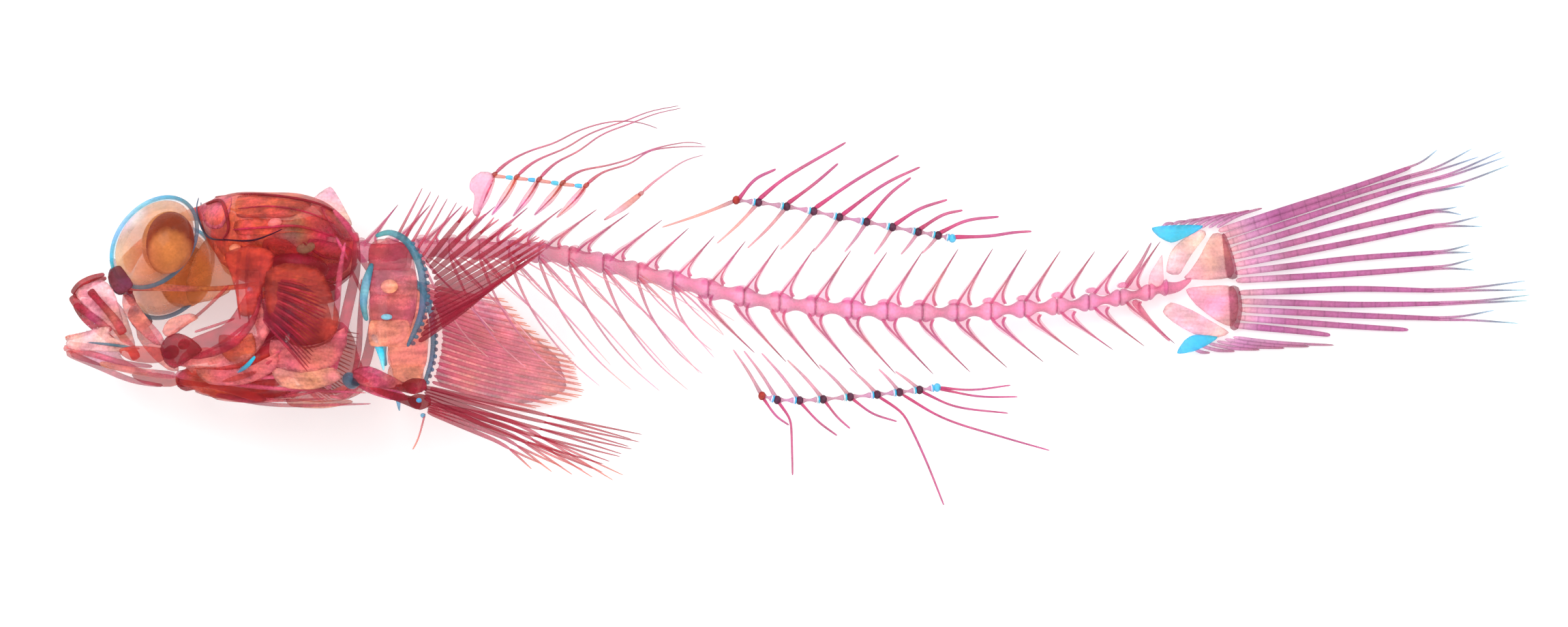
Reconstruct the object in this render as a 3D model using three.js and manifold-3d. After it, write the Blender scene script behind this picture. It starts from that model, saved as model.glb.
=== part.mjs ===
// A goby's skeleton at life size, cleared and stained, lying on its right side.
//
// The bones are drawn in the fish's own straight frame, in millimetres:
//   x runs back from the tip of the lower jaw, y runs up towards the back, and
//   w runs out to the fish's left, which is the side that lies uppermost.
// lay() then puts a point of that frame on the table: the long axis climbs
// from the snout to the nape and sinks to the tail fin, and the head is rolled
// with its belly a little up. In the finished part X is x, Y is y, Z is up.

import * as THREE from "three";
import { mergeVertices } from "three/addons/utils/BufferGeometryUtils.js";
import Module from "manifold-3d";

const wasm = await Module();
wasm.setup();

// ---------------------------------------------------------------- dimensions

const BONE = 0.33; // radius of a slender three-sided bone, 0.5 mm through
const GAP = 0.12; // left between bones that meet
const SKULL_END = 25.3; // x of the joint between the skull and the column
const TAIL_JOINT = 94.1; // x of the joint in front of the urostyle
const ORIGIN = [62.84, 0.645]; // x and y of the middle of the finished part

// ---------------------------------------------------------------- small maths

const clamp = (v, low, high) => Math.min(high, Math.max(low, v));
const mix = (a, b, t) => a + (b - a) * t;
const ease = (x, from, to) => {
  const t = clamp((x - from) / (to - from), 0, 1);
  return t * t * (3 - 2 * t);
};
const lower = (a, b, round) => (a + b - Math.hypot(a - b, round)) / 2;
const upper = (a, b, round) => (a + b + Math.hypot(a - b, round)) / 2;
const range = (n) => Array.from({ length: n }, (_, i) => i);

// A smooth function of x through a few [x, value] stations.
function through(stations) {
  const slope = (i) => {
    const a = stations[Math.max(i - 1, 0)];
    const b = stations[Math.min(i + 1, stations.length - 1)];
    return (b[1] - a[1]) / (b[0] - a[0]);
  };
  return (x) => {
    const last = stations.length - 2;
    let i = 0;
    while (i < last && x > stations[i + 1][0]) i += 1;
    const [x0, v0] = stations[i];
    const [x1, v1] = stations[i + 1];
    const h = x1 - x0;
    const t = clamp((x - x0) / h, 0, 1);
    const rise = t * t * (3 - 2 * t);
    const lead = t * (1 - t) * (1 - t) * h * slope(i);
    const trail = t * t * (1 - t) * h * slope(i + 1);
    return mix(v0, v1, rise) + lead - trail;
  };
}

// ---------------------------------------------------------------- how it lies

const HEAD_ROLL = 18; // degrees that the belly is turned up at the head
const HEAD_CLIMB = 0.145; // rise of the axis for each millimetre of head
const TAIL_FALL = 0.146; // fall of the axis for each millimetre of body
const SNOUT_HEIGHT = 5.05;
const TAIL_HEIGHT = 0.27;

const columnHeight = through([
  [SKULL_END, 5.2],
  [34, 5.5],
  [43.2, 4.85],
  [51.9, 2.8],
  [60.7, 0.95],
  [72.9, 0.08],
  [84.1, 0.58],
  [92, 1.7],
  [96, 2.8],
]);
const rollAxis = (x) => mix(3, columnHeight(x), ease(x, 24, 32));
const rollAngle = (x) => THREE.MathUtils.degToRad(HEAD_ROLL * (1 - ease(x, 30, 90)));
const axisHeight = (x) => {
  const climbing = SNOUT_HEIGHT + HEAD_CLIMB * x;
  const falling = TAIL_HEIGHT + TAIL_FALL * (99 - x);
  return upper(lower(climbing, falling, 1.4), TAIL_HEIGHT, 0.25);
};
const axisSlope = (x) => (axisHeight(x + 0.5) - axisHeight(x - 0.5));

function lay([x, y, w]) {
  const roll = rollAngle(x);
  const pitch = Math.atan(axisSlope(x));
  return [
    x - w * Math.sin(pitch) - ORIGIN[0],
    y + w * Math.sin(roll) - ORIGIN[1],
    axisHeight(x) + w * Math.cos(roll) * Math.cos(pitch) - (y - rollAxis(x)) * Math.tan(roll),
  ];
}

// The point of the straight frame that shows at x, y from above, w out from the middle.
const seen = (x, y, w) => [
  x + w * Math.sin(Math.atan(axisSlope(x))),
  y - w * Math.sin(rollAngle(x)),
  w,
];

// How far out to the right a bone lies when it rests at a height above the table.
const restingAt = (x, y, height) => {
  const roll = rollAngle(x);
  return (height - axisHeight(x) + (y - rollAxis(x)) * Math.tan(roll)) / Math.cos(roll);
};

// ---------------------------------------------------------------- making solids

let growth = 0; // how much fatter each shape is made, for cutting the room round a bone

// A closed geometry of the straight frame as a solid, with its faces turned out.
function solidOf(geometry, place = (p) => p, weld = 1e-4) {
  geometry.deleteAttribute("normal");
  geometry.deleteAttribute("uv");
  const merged = mergeVertices(geometry, weld);
  const at = merged.getAttribute("position");
  for (let i = 0; i < at.count; i++) {
    at.setXYZ(i, ...place([at.getX(i), at.getY(i), at.getZ(i)]));
  }
  const triVerts = new Uint32Array(merged.index.array);
  const make = () =>
    new wasm.Manifold(new wasm.Mesh({ numProp: 3, vertProperties: at.array, triVerts }));
  const made = make();
  if (made.volume() > 0) return made;
  for (let i = 0; i < triVerts.length; i += 3) {
    [triVerts[i], triVerts[i + 1]] = [triVerts[i + 1], triVerts[i]];
  }
  return make();
}

function geometryOf(solid) {
  const mesh = solid.getMesh();
  return new THREE.BufferGeometry()
    .setAttribute("position", new THREE.BufferAttribute(new Float32Array(mesh.vertProperties), 3))
    .setIndex(new THREE.BufferAttribute(new Uint32Array(mesh.triVerts), 1));
}

// A straight bar one unit long and one in radius, to be bent and swelled by place.
function bar(sides, steps, place) {
  const corner = (i) => new THREE.Vector2(
    Math.cos((2 * Math.PI * i) / sides), Math.sin((2 * Math.PI * i) / sides));
  const section = new THREE.Shape(range(sides).map(corner));
  return solidOf(new THREE.ExtrudeGeometry(section, { depth: 1, steps, bevelEnabled: false }), place);
}

// The value at t, from a list spread evenly from 0 to 1.
const along = (list, t) => {
  if (list.length === 1) return list[0];
  const at = clamp(t, 0, 1) * (list.length - 1);
  const i = Math.min(Math.floor(at), list.length - 2);
  return mix(list[i], list[i + 1], at - i);
};

// A bone along a smooth path of [x, y, w] points. radii are in the side view and
// flat is how thick it is from left to right, as a share of that.
function rod(points, radii, { sides = 3, steps = 2, flat = 1 } = {}) {
  const path = new THREE.CatmullRomCurve3(
    points.map((p) => new THREE.Vector3(...p)), false, "centripetal");
  return bar(sides, steps, ([px, py, t]) => {
    const tangent = path.getTangent(clamp(t, 0, 1));
    const side = new THREE.Vector3(0, 0, 1);
    if (Math.abs(tangent.z) > 0.95) side.set(0, 1, 0);
    side.addScaledVector(tangent, -side.dot(tangent)).normalize();
    const normal = new THREE.Vector3().crossVectors(tangent, side);
    const r = along(radii, t);
    const end = t > 0.999 ? growth : t < 0.001 ? -growth : 0;
    return path.getPoint(clamp(t, 0, 1))
      .addScaledVector(tangent, end)
      .addScaledVector(normal, px * (r + growth))
      .addScaledVector(side, py * (Math.max(r * flat, 0.24) + growth))
      .toArray();
  });
}

// A rounded lump: centre, half sizes in x, y and w, and a turn in the side view.
function lump([x, y, w], [rx, ry, rw], { turn = 0, around = 7, rings = 4, bow = 0 } = {}) {
  const angle = THREE.MathUtils.degToRad(turn);
  const ball = new THREE.SphereGeometry(1, around, rings);
  ball.rotateX(Math.PI / 2);
  return solidOf(ball, ([px, py, pz]) => {
    const [u, v] = [px * (rx + growth), py * (ry + growth)];
    return [
      x + u * Math.cos(angle) - v * Math.sin(angle),
      y + u * Math.sin(angle) + v * Math.cos(angle),
      w + pz * (rw + growth) - bow * (px * px + py * py),
    ];
  });
}

// A body of rounded sections at stations [x, middle height, half height, half width].
function hull(stations, { sides = 9, steps = 7 } = {}) {
  const pick = (k) => through(stations.map((s) => [s[0], s[k]]));
  const [middle, high, wide] = [pick(1), pick(2), pick(3)];
  const [first, last] = [stations[0][0], stations[stations.length - 1][0]];
  return bar(sides, steps, ([px, py, t]) => {
    const x = mix(first - growth, last + growth, t);
    return [x, middle(x) + px * (high(x) + growth), py * (wide(x) + growth)];
  });
}

// A flat bone of the middle plane, from its outline of [x, y] points.
function plate(outline, thickness, w = 0) {
  const points = outline.map((p) => new THREE.Vector2(...p));
  const middle = points.reduce((sum, p) => sum.add(p), new THREE.Vector2()).divideScalar(points.length);
  const outward = (p) => p.clone().sub(middle).setLength(growth);
  const shape = new THREE.Shape(points.map((p) => p.clone().add(outward(p))));
  const depth = thickness + 2 * growth;
  const slab = new THREE.ExtrudeGeometry(shape, { depth, bevelEnabled: false });
  return solidOf(slab.translate(0, 0, w - depth / 2));
}

const flipped = (points, side) => points.map(([x, y, w]) => [x, y, w * side]);

// ---------------------------------------------------------------- finishes

const finish = (color, roughness) =>
  new THREE.MeshStandardMaterial({ color, roughness, metalness: 0 });
const redBone = finish(0xa3383c, 0.42);
const pinkBone = finish(0xd9668a, 0.42);
const finBone = finish(0xc25c86, 0.42);
const blueCartilage = finish(0x35b6d2, 0.35);
const amberEye = finish(0xe0a45a, 0.2);

// ---------------------------------------------------------------- the assembly

const skeleton = new THREE.Group();
const rooms = []; // the room that each bone placed so far takes up, with GAP round it

const biggest = (solid) =>
  solid.decompose().sort((a, b) => b.volume() - a.volume())[0];

// Whether every edge belongs to just two faces, with corners at one place taken as one.
function isClosed(solid) {
  const { index } = mergeVertices(geometryOf(solid), 1e-4);
  const uses = new Map();
  for (let i = 0; i < index.count; i += 3) {
    const face = [0, 1, 2].map((k) => index.getX(i + k));
    if (new Set(face).size < 3) continue;
    for (const k of [0, 1, 2]) {
      const edge = [face[k], face[(k + 1) % 3]].sort((a, b) => a - b).join();
      uses.set(edge, (uses.get(edge) ?? 0) + 1);
    }
  }
  return [...uses.values()].every((count) => count === 2);
}

// The solid with corners that nearly meet made one, as far as it stays closed and whole.
function welded(solid) {
  for (const reach of [0.2, 0.16, 0.12, 0.1, 0.08, 0.06, 0.05, 0.04, 0.03, 0.02, 0.01, 0.001]) {
    try {
      const made = solidOf(geometryOf(solid), undefined, reach);
      const change = Math.abs(made.volume() - solid.volume());
      const whole = made.decompose().length === 1 && isClosed(made);
      if (whole && change < 0.01 * solid.volume()) return made;
    } catch (error) {
      if (!String(error).includes("anifold")) throw error;
    }
  }
  return solid;
}

function laid(shapes) {
  const bent = shapes.map((shape) => solidOf(geometryOf(shape), lay));
  return wasm.Manifold.union(bent);
}

// Puts a bone on the table, cuts it clear of the bones placed before it, and adds
// it. shapes makes the bone's solids of the straight frame.
function add(name, shapes, material) {
  let bone = laid(shapes()).trimByPlane([0, 0, 1], 0);
  for (const room of rooms) {
    if (bone.intersect(room).volume() > 0) bone = bone.subtract(room);
  }
  bone = welded(biggest(bone));
  growth = GAP;
  rooms.push(laid(shapes()));
  growth = 0;
  const mesh = new THREE.Mesh(geometryOf(bone), material);
  mesh.name = name;
  skeleton.add(mesh);
}

const SIDES = [["left", 1], ["right", -1]];

// ---------------------------------------------------------------- skull

const lateralEthmoid = (s) => rod(
  flipped([[4.9, 3.0, 0.2], [5.3, 2.4, 1.9], [5.6, 1.6, 3.0]], s), [0.8, 0.55, 0.4], { sides: 5 });

add("neurocranium", () => [
  hull([
    [11.4, 8.5, 0.6, 0.7],
    [13, 7.35, 2.3, 3.0],
    [15, 6.6, 3.6, 4.6],
    [18, 6.3, 3.8, 5.6],
    [21, 6.15, 3.65, 5.8],
    [23.6, 5.9, 2.8, 4.5],
    [SKULL_END, 5.3, 1.2, 1.5],
  ]),
  plate([[20.8, 9.0], [22.95, 11.05], [23.4, 10.4], [24.6, 8.6], [23.5, 7.0]], 0.5),
  rod([[23.2, 3.4, 0], [18, 2.6, 0], [12, 2.1, 0], [5.4, 2.5, 0]], [1.0, 0.5, 0.4, 0.7],
    { sides: 5, steps: 3, flat: 1.6 }),
  rod([[12.4, 8.7, 0], [9.8, 8.0, 0], [7.2, 6.2, 0], [5.1, 3.4, 0]], [0.7, 0.42, 0.42, 0.8],
    { sides: 5, steps: 4, flat: 1.2 }),
  lump([4.8, 2.9, 0], [1.1, 1.6, 1.4], { turn: 15 }),
  lateralEthmoid(1),
  lateralEthmoid(-1),
], redBone);

// ---------------------------------------------------------------- eyes

const EYE = { x: 8.6, y: 4.75, out: 4.2, long: 4.3, short: 3.1, deep: 2.1, turn: 50, ring: 0.36 };

for (const [side, s] of SIDES) {
  const turn = THREE.MathUtils.degToRad(EYE.turn);
  add(`eye_ring_${side}`, () => [solidOf(
    new THREE.TorusGeometry(1, EYE.ring, 4, 14), ([px, py, pz]) => {
      const round = Math.hypot(px, py);
      const fat = (EYE.ring + growth) / EYE.ring;
      const grown = (half) => half + (round - 1) * fat;
      const [u, v] = [(px / round) * grown(EYE.long), (py / round) * grown(EYE.short)];
      return [
        EYE.x + u * Math.cos(turn) - v * Math.sin(turn),
        EYE.y + u * Math.sin(turn) + v * Math.cos(turn),
        EYE.out * s + pz * fat,
      ];
    })], blueCartilage);
  const inside = (half) => half - EYE.ring - 2 * GAP;
  const inner = [inside(EYE.long), inside(EYE.short), EYE.deep];
  add(`eye_${side}`, () =>
    [lump([EYE.x, EYE.y, EYE.out * s], inner, { turn: EYE.turn, around: 10, rings: 6 })], amberEye);
}

// ---------------------------------------------------------------- jaws

for (const [side, s] of SIDES) {
  add(`premaxilla_${side}`, () => [
    rod(flipped([[1.3, 1.65, 0.75], [2.3, 0.5, 1.2], [3.3, -0.55, 1.7], [4.6, -1.85, 2.3]], s),
      [0.6, 0.55, 0.35], { sides: 5, steps: 3, flat: 0.8 }),
    rod(flipped([[1.2, 1.5, 0.5], [1.9, 2.75, 0.5], [3.3, 3.3, 0.5]], s), [0.5, 0.42, 0.3], { sides: 4 }),
  ], redBone);

  add(`maxilla_${side}`, () => [rod(
    flipped([[3.2, 2.1, 1.3], [4.2, 0.7, 2.4], [5.3, -1.0, 3.1], [6.0, -2.6, 3.2]], s),
    [0.4, 0.4, 0.5, 0.75], { sides: 4, steps: 4, flat: 0.6 })], redBone);

  add(`lower_jaw_${side}`, () => [
    rod(flipped([[0.4, -2.75, 0.45], [2.3, -3.0, 1.9], [5.3, -3.45, 3.3], [7.6, -4.1, 3.6], [9.2, -4.7, 3.65]], s),
      [0.5, 0.8, 1.0, 0.9, 0.6], { sides: 5, steps: 5, flat: 0.4 }),
    lump([6.3, -3.1, 3.45 * s], [1.5, 0.8, 0.3], { turn: -8 }),
    lump([9.3, -4.7, 3.65 * s], [0.65, 0.55, 0.4], { around: 6 }),
  ], redBone);
}

// ---------------------------------------------------------------- cheeks and gill covers

for (const [side, s] of SIDES) {
  add(`cheek_${side}`, () => [
    lump([10.9, -4.45, 4.05 * s], [1.15, 1.1, 0.4], { turn: 25 }),
    rod(flipped([[6.0, 0.5, 3.2], [7.3, -1.4, 3.6], [9.2, -3.2, 3.9], [10.6, -4.1, 4.0]], s),
      [0.35, 0.55, 0.5, 0.5], { steps: 3, flat: 0.6 }),
    rod(flipped([[10.7, -3.9, 4.1], [12.9, -1.4, 4.6], [15.3, 0.8, 5.2]], s), [BONE]),
    rod(flipped([[11.2, -4.7, 4.2], [14.2, -4.0, 5.2], [16.6, -1.6, 5.9], [17.5, 1.6, 6.0], [17.2, 4.2, 5.6]], s),
      [0.5, 0.9, 1.1, 0.9, 0.5], { sides: 5, steps: 5, flat: 0.4 }),
    rod(flipped([[16.3, 5.2, 5.2], [15.9, 2.2, 5.3], [16.0, -0.6, 5.5]], s),
      [1.3, 0.8, 0.6], { sides: 5, steps: 3, flat: 0.4 }),
  ], redBone);

  add(`gill_cover_${side}`, () => [
    lump([21.2, 0.5, 6.8 * s], [3.1, 3.6, 0.34], { turn: 10, around: 9, bow: 0.9 * s }),
    rod(flipped([[17.0, -4.5, 5.9], [19.8, -4.6, 6.4], [22.9, -3.0, 6.4], [24.0, 0.2, 6.1]], s),
      [0.6, 1.0, 0.9, 0.4], { sides: 5, steps: 4, flat: 0.35 }),
    rod(flipped([[20.2, -4.4, 6.4], [20.9, -2.2, 6.6]], s), [1.2, 1.4], { sides: 4, steps: 1, flat: 0.25 }),
  ], redBone);
}

// ---------------------------------------------------------------- throat

const GILL_RAYS = 5;
const gillRay = (i, s) => rod(
  flipped([
    [12.2 + 1.5 * i, -6.1 + 0.1 * i, 1.9 + 0.66 * i],
    [17.4 + 0.6 * i, -7.05 + 0.6 * i, 2.4 + 0.8 * i],
    i ? [22.4 - 0.3 * i, -7.2 + 0.95 * i, 2.4 + 0.75 * i] : [26.4, -7.2, 1.5],
  ], s), [BONE]);

for (const [side, s] of SIDES) {
  add(`hyoid_${side}`, () => [
    rod(flipped([[9.9, -5.4, 0.9], [12.6, -5.8, 1.9], [16.3, -5.6, 3.4], [19.3, -4.2, 4.8]], s),
      [0.45, 0.7, 1.05, 0.6], { sides: 5, steps: 4, flat: 0.4 }),
    ...range(GILL_RAYS).map((i) => gillRay(i, s)),
  ], redBone);
}
add("urohyal", () => [plate(
  [[9.6, -6.0], [13, -6.4], [17.2, -7.7], [17.9, -7.4], [17.6, -6.9], [13, -5.5], [9.8, -5.3]], 0.5)], redBone);

// ---------------------------------------------------------------- shoulders

const FIN_OUT = 6.3; // how far out the root of the pectoral fin lies

// One of the four waisted plates that carry the fin, from x0 to x1 about a height y.
const radial = (x0, x1, y, w) => {
  const waist = mix(x0, x1, 0.45);
  return plate(
    [[x0, y - 0.95], [waist, y - 1.2], [x1, y - 1.15], [x1, y + 1.15], [waist, y + 0.9], [x0, y + 0.95]], 0.5, w);
};

for (const [side, s] of SIDES) {
  add(`cleithrum_${side}`, () => [
    rod(flipped([
      [25.8, 5.4, 4.6], [26.0, 2.0, 5.8], [25.3, -1.5, 6.3], [24.4, -4.5, 5.1], [23.4, -6.3, 2.8], [22.9, -6.6, 0.8],
    ], s), [0.5, 0.7, 0.65, 0.65, 0.6, 0.45], { sides: 4, steps: 6, flat: 0.6 }),
    rod(flipped([[23.9, 7.2, 4.2], [25.9, 4.7, 5.0]], s), [0.45], { sides: 4, steps: 1 }),
  ], redBone);

  add(`coracoid_cartilage_${side}`, () => [rod(
    flipped([[27.6, 2.6, 6.1], [27.0, 0.2, 6.3], [27.0, -2.2, 6.2], [27.5, -4.4, 5.8]], s),
    [0.35, 0.6, 0.55, 0.35], { sides: 4, steps: 4, flat: 0.6 })], blueCartilage);

  add(`pectoral_radials_${side}`, () => [
    ...range(4).map((i) => radial(27.9, 31.8 - 0.35 * Math.abs(i - 1.4), 2.9 - 2.25 * i, FIN_OUT * s)),
    rod(flipped([[28.9, 4.5, FIN_OUT], [31.1, 4.0, FIN_OUT], [32.2, 1.3, FIN_OUT], [32.1, -2.2, FIN_OUT],
      [30.9, -4.8, FIN_OUT]], s), [0.38], { sides: 4, steps: 5, flat: 0.9 }),
  ], redBone);
}

// The left fin is folded back along the body in pleats; the right one is spread on the table.
const PECTORAL_RAYS = 15;
const PLEAT = 0.7; // how far out every second ray of the folded fin stands
const rayRoot = {
  x: through([[0, 29.9], [0.3, 32.3], [0.6, 32.9], [1, 31.9]]),
  y: through([[0, 4.9], [0.5, 0.6], [1, -4.3]]),
};
const leftTip = {
  x: through([[0, 31.0], [0.25, 35.0], [0.5, 40.0], [0.75, 41.6], [1, 38.6]]),
  y: through([[0, 10.8], [0.25, 9.3], [0.5, 6.9], [0.75, 5.6], [1, 2.9]]),
};
const rightTip = {
  x: through([[0, 38.0], [0.25, 42.0], [0.5, 44.4], [0.75, 44.8], [1, 40.8]]),
  y: through([[0, 1.4], [0.25, -2.2], [0.5, -4.8], [0.75, -7.0], [1, -8.9]]),
};
const rootBand = (s) => rod(
  range(6).map((i) => [rayRoot.x(i / 5) + 0.35, rayRoot.y(i / 5), FIN_OUT * s]), [0.4], { steps: 5 });

// The point of the straight frame that shows at x, y and lies just above the table.
function onTable(x, y) {
  let point = seen(x, y, -9);
  for (const _ of range(6)) point = seen(x, y, restingAt(point[0], point[1], 0.1));
  return point;
}

function pectoralRay(i, s) {
  const u = i / (PECTORAL_RAYS - 1);
  const root = [rayRoot.x(u) + 0.2, rayRoot.y(u), FIN_OUT * s];
  const half = (tip) => tip.map((v, k) => mix(root[k], v, 0.5));
  if (s > 0) {
    const pleat = i % 2 ? PLEAT : 0;
    const tip = seen(leftTip.x(u), leftTip.y(u), 4.1 + pleat);
    const [x, y] = half(tip);
    return rod([root, [x, y - 0.3, 5.5 + pleat], tip], [0.27, 0.29]);
  }
  const tip = onTable(rightTip.x(u), rightTip.y(u));
  const [x, y, w] = half(tip);
  return rod([root, [x, y, w - 0.5], tip], [0.27, 0.29]);
}

for (const [side, s] of SIDES) {
  add(`pectoral_fin_${side}`, () =>
    [rootBand(s), ...range(PECTORAL_RAYS).map((i) => pectoralRay(i, s))], finBone);
}

// ---------------------------------------------------------------- hips

const PELVIC_RAYS = 5;
function pelvicRay(i, s) {
  const u = i / (PELVIC_RAYS - 1);
  const root = [31.1, -6.9 - 0.22 * i, (2.3 - 0.1 * i) * s];
  const middle = [38.5 - u, -8.6 - 0.55 * i, (1.9 - 0.15 * i) * s];
  const tip = s > 0
    ? seen(mix(49.8, 46.5, u * u), mix(-10.4, -12.9, u), 1.7 - 0.3 * u)
    : seen(mix(48.2, 41.0, u), mix(-13.9, -12.9, u), -0.9 - 0.5 * u);
  return rod([root, middle, tip], [0.27, BONE]);
}

add("pelvic_cartilage", () => [lump([24.7, -5.7, 0], [0.85, 0.75, 1.2])], blueCartilage);
for (const [side, s] of SIDES) {
  add(`pelvic_bone_${side}`, () => [rod(
    flipped([[25.3, -5.9, 0.8], [27.6, -6.4, 1.2], [30.4, -7.0, 2.2]], s),
    [0.5, 0.45, 0.75], { sides: 4, steps: 3 })], redBone);

  add(`pelvic_fin_${side}`, () => [
    lump([31.0, -7.3, 2.15 * s], [0.5, 0.85, 0.45], { around: 6 }),
    ...range(PELVIC_RAYS).map((i) => pelvicRay(i, s)),
    ...(s < 0 ? [rod([[30.9, -7.8, -2.1], [30.3, -10.0, -2.0], [29.7, -11.0, -1.9]], [BONE])] : []),
  ], finBone);
}

// ---------------------------------------------------------------- vertebral column

const FRONT_VERTEBRAE = 7; // between the skull and the first evenly long one
const MIDDLE_START = 43.2;
const vertebraLength = through([[MIDDLE_START, 2.9], [52, 3.0], [67, 3.05], [78, 2.85], [89, 2.6], [92, 2.3]]);

const joints = range(FRONT_VERTEBRAE + 1)
  .map((i) => mix(SKULL_END + GAP, MIDDLE_START, i / FRONT_VERTEBRAE));
while (joints[joints.length - 1] < TAIL_JOINT - 1.5) {
  const x = joints[joints.length - 1];
  joints.push(x + vertebraLength(x));
}
joints[joints.length - 1] = TAIL_JOINT;

const nodeRadius = through([[SKULL_END, 0.95], [45, 0.95], [60, 1.0], [80, 0.95], [94, 0.85]]);
const waistRadius = through([[SKULL_END, 0.7], [50, 0.7], [65, 0.55], [85, 0.42], [94, 0.42]]);

// The hourglass bodies of the vertebrae from one joint to another.
function centra(first, last) {
  const stations = [];
  for (let i = first; i < last; i++) {
    const [a, b] = [joints[i], joints[i + 1]];
    stations.push([a, nodeRadius(a)], [(a + b) / 2, waistRadius((a + b) / 2)]);
  }
  stations.push([joints[last], nodeRadius(joints[last])]);
  const steps = stations.length - 1;
  return bar(6, steps, ([px, py, t]) => {
    const [x, r] = stations[Math.round(t * steps)];
    return [x, columnHeight(x) + py * (r + growth), px * (r + growth)];
  });
}

const neuralTipHeight = through(
  [[30, 9.3], [38.3, 9.1], [48.6, 8.6], [56, 6.6], [61.3, 5.9], [70, 5.3], [78, 5.6], [90.5, 5.4], [92.8, 6.2]]);
const neuralLean = through([[25, 2.2], [36, 2.9], [46, 3.9], [54, 2.5], [70, 2.5], [90, 2.3]]);
const neuralSetback = through([[25, 1.0], [46, 1.3], [58, 0.7], [80, 0.7], [88, 1.2]]);

function neuralSpine(joint) {
  const x = joint + neuralSetback(joint);
  const y = columnHeight(x);
  const tipX = x + neuralLean(x);
  const tipY = neuralTipHeight(tipX);
  return rod([[x, y + 0.3, 0], [mix(x, tipX, 0.3), mix(y + 0.6, tipY, 0.42), 0], [tipX, tipY, 0]],
    [0.75, 0.38, 0.28], { flat: 0.9 });
}

const haemalTipHeight = through(
  [[59, -3.4], [64.3, -4.8], [71, -5.2], [77, -5.1], [83, -4.3], [89.2, -3.2], [94.6, -2.6]]);
const haemalSetback = through([[54, -0.2], [64, 0.1], [76, 0.5], [86, 1.1], [92, 1.3]]);
const haemalLean = through([[54, 4.3], [60, 3.6], [70, 3.7], [84, 3.9], [91, 3.5]]);

function haemalSpine(joint) {
  const x = joint + haemalSetback(joint);
  const y = columnHeight(x);
  const tipX = x + haemalLean(x);
  const tipY = haemalTipHeight(tipX);
  return rod([[x, y - 0.3, 0], [mix(x, tipX, 0.4), mix(y - 0.6, tipY, 0.44), 0], [tipX, tipY, 0]],
    [0.5, 0.38, 0.28], { flat: 0.9 });
}

const jointAfter = (x) => joints.findIndex((j) => j >= x);
const FIRST_RIB = jointAfter(30);
const RIB_END = jointAfter(54);
const BODY_CUT = jointAfter(75);
const LAST = joints.length - 1;

// Ribs hang from the joints of the trunk, bowed round the belly.
const ribLength = through([[30, 9], [38, 12.2], [46, 11.6], [50, 8], [53, 4.6]]);
function rib(joint, s) {
  const y = columnHeight(joint) - 0.5;
  const long = ribLength(joint);
  return rod(flipped([
    [joint, y, 0.4],
    [joint + 0.16 * long, y - 0.26 * long, 3.1],
    [joint + 0.42 * long, y - 0.58 * long, 4.3],
    [joint + 0.68 * long, y - 0.84 * long, 3.5],
  ], s), [BONE]);
}
function epineural(joint, s) {
  const y = columnHeight(joint) - 0.2;
  return rod(flipped([[joint, y, 0.4], [joint + 2.6, y - 1.2, 2.3], [joint + 5.2, y - 2.0, 3.4]], s), [BONE], { steps: 1 });
}

const trunkJoints = joints.slice(FIRST_RIB, RIB_END);
const epineuralJoints = trunkJoints.filter((_, i) => i % 2 === 0);
const trunkSide = (s) => [
  centra(0, RIB_END).trimByPlane([0, 0, s], GAP / 2 - growth),
  ...trunkJoints.map((joint) => rib(joint, s)),
  ...epineuralJoints.map((joint) => epineural(joint, s)),
];
add("trunk_left", () => [...trunkSide(1), ...joints.slice(0, RIB_END).map(neuralSpine)], pinkBone);
add("trunk_right", () => trunkSide(-1), pinkBone);

const tailStretch = (first, last) => [
  centra(first, last),
  ...joints.slice(first, last).map(neuralSpine),
  ...joints.slice(first, last).map(haemalSpine),
];
add("tail_vertebrae_front", () => tailStretch(RIB_END, BODY_CUT), pinkBone);
add("tail_vertebrae_rear", () => tailStretch(BODY_CUT, LAST - 1), pinkBone);

// ---------------------------------------------------------------- tail fin

add("urostyle", () => [
  centra(LAST - 1, LAST),
  rod([[93.8, 2.15, 0], [95.0, 2.25, 0], [96.0, 2.95, 0]], [0.85, 0.6, 0.35], { sides: 5 }),
  plate([[92.5, 1.8], [92.65, 3.6], [93.6, 5.2], [93.75, 2.0]], 0.56),
], pinkBone);

// Tail rays as [height at the root, at x 110, where the shaft ends, then the tips of its branches].
const upperRays = [
  [7.0, 10.75, [115, 12.5], [117.2, 14.0]],
  [6.5, 10.2, [115, 11.75], [120.3, 14.2], [120.9, 13.5]],
  [5.95, 9.5, [115, 11.0], [123.0, 14.0], [123.3, 13.4]],
  [5.35, 8.55, [116, 10.35], [123.6, 12.8], [119.6, 10.9]],
  [4.75, 7.3, [117, 8.8], [119.0, 9.1], [119.4, 8.4]],
  [4.1, 6.1, [117, 7.5], [120.9, 8.3], [121.2, 7.4]],
  [3.45, 4.7, [117, 5.2], [120.1, 5.95], [120.2, 5.2]],
  [2.8, 3.4, [117, 3.9], [120.4, 4.7], [120.5, 3.7]],
];
const lowerRays = [
  [1.75, 2.1, [117, 1.95], [124.9, 2.9], [125.0, 2.0]],
  [1.05, 0.75, [117.5, 0.85], [125.5, 1.7], [125.2, 1.1]],
  [0.35, -0.15, [117.5, -0.45], [122.2, 0.3], [124.3, -0.85]],
  [-0.35, -1.1, [114.9, -1.4]],
  [-1.0, -1.95, [108.2, -1.85]],
];
const rayRootX = through([[-1.6, 99.4], [0.4, 100.0], [2.7, 99.7], [5, 99.2], [7.2, 98.1]]);

const TAIL_RAY = 0.3; // radius of a tail ray

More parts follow.
